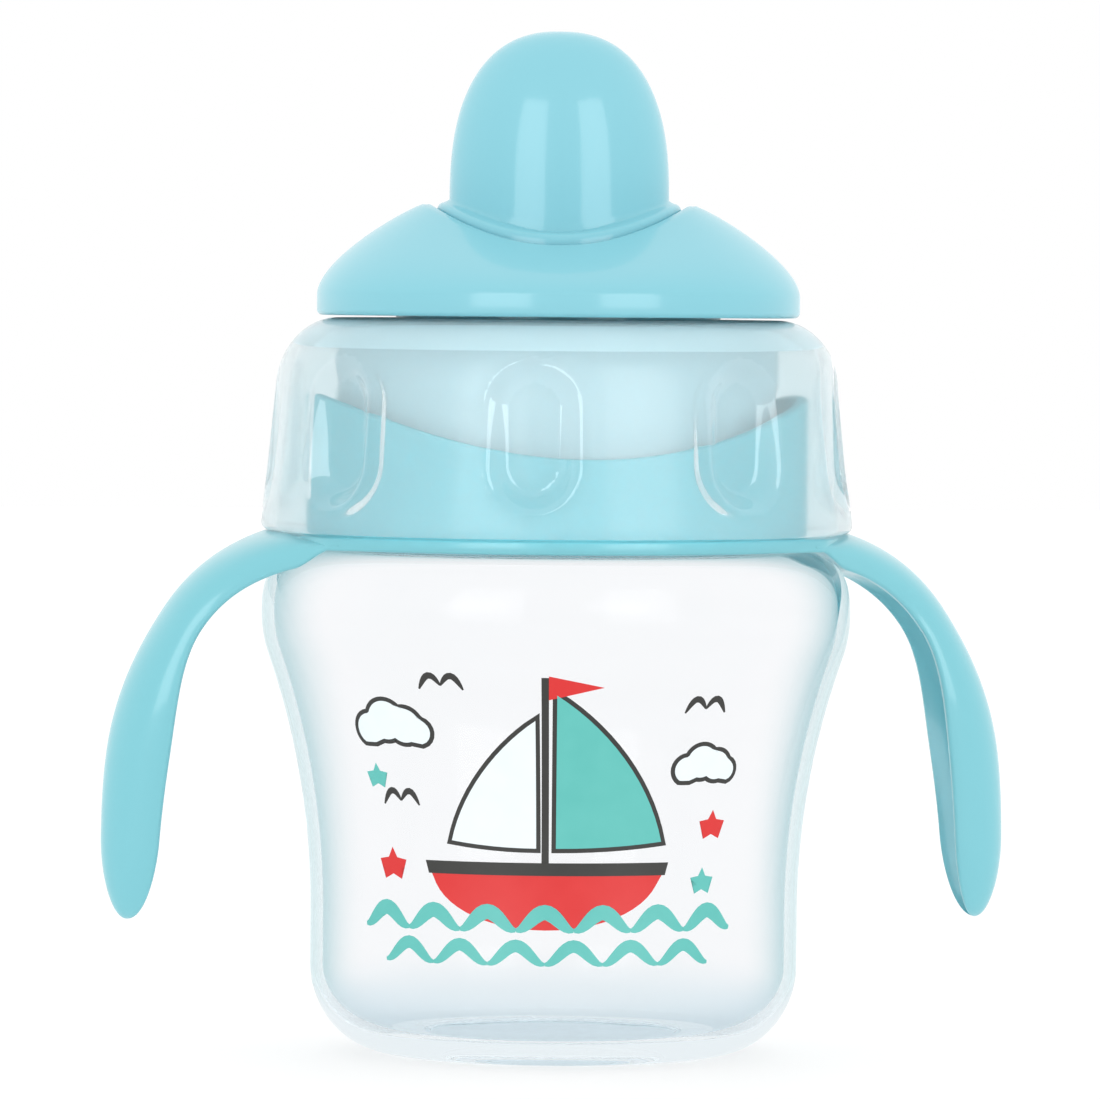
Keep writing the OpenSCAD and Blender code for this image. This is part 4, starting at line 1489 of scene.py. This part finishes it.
@dataclass
class SpoutCap:
    """Aqua dome that plugs into the lid over the spout, with a wavy bead round its foot. Sizes in mm."""

    half_w: float = 14.0
    half_d: float = 12.0
    top_z: float = 130.1
    wall: float = 1.4
    plug_r: float = 15.6
    low_z: float = 98.3
    bead_z: float = 106.3
    bead_wave: float = 2.0
    bead_w: float = 1.2
    fold_gap: float = 0.05
    curve_z: float = 108.5
    turn_deg: float = -8.0
    steps: int = 192
    dome_rows: int = 44
    # Rows of the fold above the bead: height above it, distance outside the dome and share of the wave.
    fold: tuple[tuple[float, float, float], ...] = (
        (0.9, 0.0, 0.7), (0.45, 0.05, 0.9), (0.15, 0.2, 1.0), (0.0, 0.5, 1.0)
    )
    # Rows of the bead's round edge: distance out and down.
    bead: tuple[Point, ...] = ((0.2, 0.0), (0.55, 0.1), (0.85, 0.28), (1.05, 0.55), (1.2, 1.0), (1.2, 1.6))

    def rows(self) -> list[tuple[np.ndarray, float]]:
        """Rings of the cap from the outside's top down, under its plug and up the inside.

        Returns:
            The rings, each with its share of the wave.
        """
        n, size = self.steps, (self.half_w, self.half_d)
        dome = Dome(*size, self.curve_z, self.top_z - self.curve_z, self.dome_rows, n)
        fold_z, bead_r = self.bead_z + self.fold_gap, self.plug_r - self.bead_w
        return [
            *((ring, 0.0) for ring in dome.rings(0)[::-1]),
            *((oval_ring(*size, fold_z + up, n, -out), share) for up, out, share in self.fold),
            *((circle_ring(bead_r + out, self.bead_z - down, n), 1.0) for out, down in self.bead),
            (circle_ring(self.plug_r, self.low_z, n), 0.0),
            *((oval_ring(*size, z, n, self.wall), 0.0) for z in (self.low_z, self.curve_z)),
            *((ring, 0.0) for ring in dome.rings(self.wall)),
        ]

    def build(self, wave: WaveTool) -> None:
        """Make and dress the cap.

        Args:
            wave: Tool that gives the bead its wave.
        """
        rows = self.rows()
        poles = ((0, 0, self.top_z), (0, 0, self.top_z - self.wall))
        mesh = skin_mesh("cap_dome", [r for r, _ in rows], poles, {"wave": [w for _, w in rows]})
        turn(mesh, self.turn_deg)
        piece = wave.run(
            new_object("cap_dome", mesh), AQUA,
            Wave_height=self.bead_wave * MM, Turn=math.radians(self.turn_deg),
        )
        settle(smooth(piece, sharp_deg=40), Body.CAP, ["spout_cap"])


@dataclass
class Spout:
    """Soft spout with a slit tip on a clamped flange. Sizes in mm."""

    half_w: float = 10.8
    half_d: float = 8.4
    flange_z: float = 88.9
    flange_top: float = 90.1
    rim_top: float = 91.5
    rim_r: float = 22.2
    flange_r: float = 26.3
    height: float = 32.0
    wall: float = 1.5
    slit_len: float = 8.0
    slit_w: float = 0.4
    slit_h: float = 9.0
    vent_dist: float = 15.0
    vent_r: float = 3.2
    vent_h: float = 3.0
    vent_sides: int = 48
    rim_edge: float = 0.3
    # Rows of the fillet at the spout's foot: height above the flange and distance outside the spout.
    fillet: tuple[Point, ...] = ((0.5, 0.1), (0.0, 0.6))
    turn_deg: float = -8.0
    steps: int = 128
    dome_rows: int = 32

    def cutters(self) -> list[bpy.types.Object]:
        """Make the shapes that cut the slit in the tip and the hole for the vent.

        Returns:
            Objects with closed meshes.
        """
        slit, vent = bmesh.new(), bmesh.new()
        bmesh.ops.create_cube(slit, size=1.0)
        bmesh.ops.scale(slit, vec=Vector((self.slit_len, self.slit_w, self.slit_h)) * MM, verts=slit.verts)
        r = self.vent_r * MM
        bmesh.ops.create_cone(
            vent, cap_ends=True, segments=self.vent_sides, radius1=r, radius2=r, depth=self.vent_h * MM
        )
        made = []
        for name, work, at in (
            ("slit_cutter", slit, (0, 0, self.flange_top + self.height)),
            ("vent_cutter", vent, (0, self.vent_dist, (self.flange_z + self.flange_top) / 2)),
        ):
            bmesh.ops.translate(work, vec=Vector(at) * MM, verts=work.verts)
            mesh = bpy.data.meshes.new(name)
            work.to_mesh(mesh)
            work.free()
            turn(mesh, self.turn_deg)
            made.append(new_object(name, mesh))
        return made

    def build(self) -> None:
        """Make and dress the spout."""
        n, size = self.steps, (self.half_w, self.half_d)
        dome = Dome(*size, self.flange_top, self.height, self.dome_rows, n)
        flange = (
            (self.rim_r, self.flange_top),
            (self.rim_r, self.rim_top),
            (self.flange_r - self.rim_edge, self.rim_top),
            (self.flange_r, self.rim_top - self.rim_edge),
            (self.flange_r, self.flange_z),
        )
        rings = [
            *dome.rings(0)[::-1],
            *(oval_ring(*size, self.flange_top + up, n, -out) for up, out in self.fillet),
            *(circle_ring(r, z, n) for r, z in flange),
            *(oval_ring(*size, z, n, self.wall) for z in (self.flange_z, self.flange_top)),
            *dome.rings(self.wall),
        ]
        top = self.flange_top + self.height
        mesh = skin_mesh("soft_spout", rings, ((0, 0, top), (0, 0, top - self.wall)))
        turn(mesh, self.turn_deg)
        piece = new_object("soft_spout", mesh)
        carve(piece, self.cutters())
        dress(piece, SILICONE)
        settle(smooth(piece), Body.LID, ["spout"])


@dataclass
class Print:
    """Screen print of a sailing boat, clouds, stars and waves on the bottle's front. Sizes in mm."""

    bottle: Bottle
    turn_deg: float = -10.0
    film: float = 0.03
    lift: float = 0.015
    layer: float = 0.035
    cell: float = 1.0
    rim: float = 0.55
    rim_under: float = 0.15

    def flat_mesh(
        self, name: str, outlines: Sequence[Sequence[Point]], rims: Sequence[Sequence[Point]] = ()
    ) -> bpy.types.Mesh:
        """Make flat films from outlines, cut fine enough to bend round the bottle.

        Args:
            name: Name of the mesh.
            outlines: Closed outlines as distance across and height.
            rims: Closed outlines that get an edge line only.

        Returns:
            A mesh of closed films that lie across X and Z.
        """
        work = bmesh.new()
        for outline in outlines:
            work.faces.new([work.verts.new((x * MM, 0.0, z * MM)) for x, z in outline])
        for outline in rims:
            loops = [
                [work.verts.new((x * MM, 0.0, z * MM)) for x, z in self.grown(outline, by)]
                for by in (self.rim, -self.rim_under)
            ]
            for (a, b), (c, d) in pairwise([*zip(*loops), next(zip(*loops))]):
                work.faces.new((a, c, d, b))
        bmesh.ops.triangulate(work, faces=work.faces)
        xs = [v.co.x / MM for v in work.verts]
        zs = [v.co.z / MM for v in work.verts]
        for values, axis in ((xs, Vector((1, 0, 0))), (zs, Vector((0, 0, 1)))):
            for i in range(math.floor(min(values) / self.cell), math.ceil(max(values) / self.cell)):
                geometry = [*work.verts, *work.edges, *work.faces]
                at = axis * i * self.cell * MM
                bmesh.ops.bisect_plane(work, geom=geometry, plane_co=at, plane_no=axis)
        grown = bmesh.ops.extrude_face_region(work, geom=work.faces[:])
        moved = [g for g in grown["geom"] if isinstance(g, bmesh.types.BMVert)]
        bmesh.ops.translate(work, vec=Vector((0, self.film * MM, 0)), verts=moved)
        bmesh.ops.recalc_face_normals(work, faces=work.faces)
        mesh = bpy.data.meshes.new(name)
        work.to_mesh(mesh)
        work.free()
        return mesh

    @staticmethod
    def stroke(line: Sequence[Point], width: float) -> list[Point]:
        """Outline of a brush line that thins towards both ends.

        Args:
            line: Points along its middle.
            width: Width at its middle.

        Returns:
            Closed outline.
        """
        thinnest = 0.25
        left, right = [], []
        for i, (x, z) in enumerate(line):
            a, b = line[max(0, i - 1)], line[min(len(line) - 1, i + 1)]
            dx, dz = b[0] - a[0], b[1] - a[1]
            size = math.hypot(dx, dz)
            half = width / 2 * max(thinnest, math.sin(math.pi * i / (len(line) - 1)) ** 0.5)
            left.append((x - dz / size * half, z + dx / size * half))
            right.append((x + dz / size * half, z - dx / size * half))
        return left + right[::-1]

    @staticmethod
    def grown(outline: Sequence[Point], by: float) -> list[Point]:
        """Outline moved outwards, for the edge line round a colour.

        Args:
            outline: Closed outline.
            by: How far it is moved; a corner moves up to twice as far.

        Returns:
            The moved outline, with as many points.
        """
        n = len(outline)
        area = sum(a[0] * b[1] - b[0] * a[1] for a, b in pairwise([*outline, outline[0]]))
        sign = 1 if area > 0 else -1
        corner_limit = 2.0
        made = []
        for i in range(n):
            (ax, az), (bx, bz), (cx, cz) = outline[i - 1], outline[i], outline[(i + 1) % n]
            e0 = Vector((bx - ax, bz - az)).normalized()
            e1 = Vector((cx - bx, cz - bz)).normalized()
            out = Vector((e0.y + e1.y, -e0.x - e1.x)) * sign
            out.normalize()
            lean = out.dot(Vector((e0.y, -e0.x)) * sign)
            reach = 1 / max(1 / corner_limit, lean)
            made.append((bx + out.x * by * reach, bz + out.y * by * reach))
        return made

    @staticmethod
    def star(x: float, z: float, size: float) -> list[Point]:
        """Outline of a plump five-pointed star.

        Args:
            x: Distance of its middle across.
            z: Height of its middle.
            size: Reach of its points.

        Returns:
            Closed outline.
        """
        radii = (size, 0.52 * size)
        made = []
        for i in range(10):
            a, r = math.radians(90 + 36 * i), radii[i % 2]
            made.append((x + r * math.cos(a), z + r * math.sin(a)))
        return made

    @staticmethod
    def cloud(x: float, z: float, size: float) -> list[Point]:
        """Outline of a cloud: the outside of four round puffs on a flat foot.

        Args:
            x: Distance of its middle across.
            z: Height of its middle.
            size: Scale of the puffs.

        Returns:
            Closed outline.
        """
        puffs = ((-0.75, 0.05, 0.5), (-0.15, 0.35, 0.62), (0.5, 0.2, 0.55), (0.95, 0.0, 0.4))
        foot, steps = -0.38, 72
        made = []
        for i in range(steps):
            a = 2 * math.pi * i / steps
            ux, uz = math.cos(a), math.sin(a)
            reach = 0.05
            for px, pz, r in puffs:
                along = px * ux + pz * uz
                apart = r * r - (px * px + pz * pz - along * along)
                if apart > 0:
                    reach = max(reach, along + math.sqrt(apart))
            made.append((x + size * ux * reach, z + size * max(foot, uz * reach)))
        return made

    def sail(self, side: float, foot: float, low: float, high: float, mast: float) -> list[Point]:
        """Outline of a sail with a bellied edge.

        Args:
            side: 1 for a sail to the right of the mast, -1 for the left.
            foot: Length of its lower edge.
            low: Height of its lower edge.
            high: Height of its top.
            mast: Distance of its straight edge from the mast's middle.

        Returns:
            Closed outline.
        """
        lift, tall = 0.8, high - low
        edge = (
            (mast + foot, low + lift),
            (mast + 0.86 * foot, low + 0.42 * tall),
            (mast + 0.4 * foot, low + 0.8 * tall),
            (mast, high),
        )
        foot_line = [(mast + foot * i / 6, low + lift * (i / 6) ** 2) for i in range(6)]
        return [(side * x, z) for x, z in foot_line + [cubic(edge, i / 14) for i in range(15)]]

    def gull(self, x: float, z: float) -> list[list[Point]]:
        """Outlines of the two wings of a gull.

        Args:
            x: Distance across of the point where the wings meet.
            z: Height of that point.

        Returns:
            A closed outline for each wing.
        """
        along = [i / 10 for i in range(11)]
        return [
            self.stroke([(x + 2.6 * s * u, z + 1.5 * math.sin(math.pi * u) - 0.5 * u) for u in along], 0.8)
            for s in (-1, 1)
        ]

    def crest(self, z: float, width: float) -> list[Point]:
        """Outline of one crest of a printed wave.

        Args:
            z: Height of its middle.
            width: Width of its line.

        Returns:
            Closed outline.
        """
        half, tall, steps = 3.6, 1.15, 16
        line = [
            (half * (i / steps - 0.5) * 2, z + tall * math.sin(2 * math.pi * i / steps - math.pi / 2))
            for i in range(steps + 1)
        ]
        return self.stroke(line, width)

    def build(self, rows: PrintTool) -> None:
        """Make each ink of the print as one piece.

        Args:
            rows: Tool that lays flat motifs on the bottle.
        """
        hull = [*arc((0, 25.2), 14.5, 7.4, 195, 345, 24), (15.6, 26.0), (-15.2, 26.0)]
        stripe = [(-15.0, 24.6), (15.2, 24.6), (15.6, 26.2), (-15.4, 26.2)]
        main_sail = self.sail(1, 13.2, 28.0, 47.2, 1.3)
        jib = self.sail(-1, 10.6, 28.0, 44.0, 1.1)
        mast = [(-0.45, 25.5), (0.45, 25.5), (0.4, 49.4), (-0.4, 49.4)]
        flag = [(0.4, 49.6), (6.4, 48.2), (0.4, 46.6)]
        clouds = [self.cloud(-18.8, 42.2, 3.9), self.cloud(19.6, 37.6, 3.2)]
        places = ((-18.5, 33.5), (18.6, 45.4), (-11.6, 48.2))
        gulls = [wing for x, z in places for wing in self.gull(x, z)]
        red_stars = [self.star(-20.4, 25.4, 2.2), self.star(21.6, 30.6, 2.0)]
        mint_stars = [self.star(20.6, 23.6, 1.8), self.star(-21.8, 36.4, 1.7)]
        rims = {"print_black": (main_sail, jib, *clouds)}
        # Name, ink, number of films under it, outlines, copies in its row and their spacing.
        layers: list[tuple[str, Finish, int, list[Sequence[Point]], int, float]] = [
            ("print_black", INK_BLACK, 0, [mast, *gulls], 1, 0.0),
            ("print_hull", INK_RED, 1, [hull, flag, *red_stars], 1, 0.0),
            ("print_sail", INK_MINT, 1, [main_sail, *mint_stars], 1, 0.0),
            ("print_pale", INK_PALE, 1, [jib, *clouds], 1, 0.0),
            ("print_stripe", INK_BLACK, 2, [stripe], 1, 0.0),
            ("print_wave_high", INK_MINT, 2, [self.crest(18.9, 1.9)], 7, 7.2),
            ("print_wave_low", INK_MINT, 2, [self.crest(14.7, 1.6)], 6, 7.2),
        ]
        for name, ink, level, outlines, count, spacing in layers:
            piece = rows.run(
                new_object(name, self.flat_mesh(name, outlines, rims.get(name, ()))), ink,
                Count=count, Spacing=spacing * MM,
                Waist_radius=self.bottle.waist_r * MM, Flare_radius=self.bottle.flare_r * MM,
                Flare_start=self.bottle.flare_z * MM, Lift=(self.lift + level * self.layer) * MM,
                Turn=math.radians(self.turn_deg),
            )
            settle(smooth(piece), Body.BOTTLE)


@dataclass
class Studio:
    """Pale floor, soft lights and the camera. Lengths in mm."""

    azimuth_deg: float = -8.0
    eye_z: float = 97.0
    distance: float = 1016.0
    pitch_deg: float = 1.86
    roll_deg: float = 0.46
    yaw_deg: float = 0.0468
    lens: float = 260.57
    sensor: float = 36.0
    near: float = 10.0
    far: float = 100000.0
    floor_half: float = 2500.0
    floor_cells: int = 24
    box_far: float = 1100.0
    box_z: float = 460.0
    box_size: Point = (560.0, 880.0)
    box_glow: float = 4.0
    sky: float = 1.12
    bounces: int = 32
    gloss_bounces: int = 16

    def camera(self) -> None:
        """Place the camera at the viewing angle."""
        turns = (self.azimuth_deg, self.pitch_deg, self.roll_deg, self.yaw_deg)
        a, p, r, y = (math.radians(v) for v in turns)
        level = Vector((-math.sin(a), math.cos(a), 0.0))
        right = Vector((math.cos(a), math.sin(a), 0.0))
        ahead = level * math.cos(p) - Vector((0, 0, 1)) * math.sin(p)
        up = Vector((0, 0, 1)) * math.cos(p) + level * math.sin(p)
        right, up = right * math.cos(r) + up * math.sin(r), up * math.cos(r) - right * math.sin(r)
        right, ahead = right * math.cos(y) + ahead * math.sin(y), ahead * math.cos(y) - right * math.sin(y)
        data = bpy.data.cameras.new("camera")
        data.lens = self.lens
        data.sensor_width = self.sensor
        data.clip_start = self.near * MM
        data.clip_end = self.far * MM
        made = bpy.data.objects.new("camera", data)
        axes = Matrix((right, up, -ahead)).transposed().to_4x4()
        eye = Vector((math.sin(a) * self.distance, -math.cos(a) * self.distance, self.eye_z))
        axes.translation = eye * MM
        made.matrix_world = axes
        bpy.context.scene.collection.objects.link(made)
        bpy.context.scene.camera = made

    def softbox(self, name: str, side_deg: float) -> None:
        """Hang a softbox that faces the cup and gives it highlights.

        Args:
            name: Name of the light.
            side_deg: Angle from the camera's side, to the right.
        """
        data = bpy.data.lights.new(name, "AREA")
        data.shape = "RECTANGLE"
        data.size, data.size_y = (side * MM for side in self.box_size)
        data.energy = self.box_glow * math.pi * data.size * data.size_y
        made = bpy.data.objects.new(name, data)
        a = math.radians(self.azimuth_deg + side_deg)
        at = Vector((math.sin(a) * self.box_far, -math.cos(a) * self.box_far, self.box_z)) * MM
        made.location = at
        made.rotation_euler = Vector((-at.x, -at.y, 0)).to_track_quat("-Z", "Y").to_euler()
        made.visible_camera = False
        made.visible_diffuse = False
        bpy.context.scene.collection.objects.link(made)

    def surroundings(self) -> None:
        """Make the white surroundings, brighter where the camera looks past or through the cup."""
        world = bpy.data.worlds.new("white_room")
        world.use_nodes = True
        tree = world.node_tree
        tree.nodes.clear()
        air = add(
            tree, "ShaderNodeBackground",
            {"Color": PURE_WHITE, "Strength": seen_glow(tree, self.sky, 1.0)},
        )
        add(tree, "ShaderNodeOutputWorld", {"Surface": air.outputs[0]})
        bpy.context.scene.world = world

    def build(self) -> None:
        """Set up the floor, the lights, the surroundings and the camera."""
        work = bmesh.new()
        cells = self.floor_cells
        bmesh.ops.create_grid(work, x_segments=cells, y_segments=cells, size=self.floor_half * MM)
        mesh = bpy.data.meshes.new("studio_floor")
        work.to_mesh(mesh)
        work.free()
        floor = new_object("studio_floor", mesh)
        dress(floor, BOARD)
        self.surroundings()
        self.softbox("left_softbox", -27)
        self.softbox("right_softbox", 34)
        self.camera()
        light = bpy.context.scene.cycles
        light.max_bounces = light.transmission_bounces = self.bounces
        light.glossy_bounces = self.gloss_bounces
        view = bpy.context.scene.view_settings
        view.view_transform = "Standard"
        view.look = "None"


def main() -> None:
    """Build every piece in order."""
    logging.basicConfig(level=logging.INFO, format="%(name)s: %(message)s")
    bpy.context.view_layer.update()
    wave, grips, thread, rows = WaveTool(), GripTool(), ThreadTool(), PrintTool()
    bottle = Bottle()
    bottle.build(thread)
    HandleFrame(bottle).build(wave)
    Collar().build(grips, thread)
    Lid().build(wave)
    SpoutCap().build(wave)
    Spout().build()
    Print(bottle).build(rows)
    kept = {"valve_plate": WHITE, "flow_valve": SILICONE, "vent_valve": SILICONE, "rim_seal": SILICONE}
    for node, finish in kept.items():
        dress(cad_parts[node], finish)
        LOG.info("%s keeps its own solid", node)
    Studio().build()


if __name__ == "__main__":
    main()
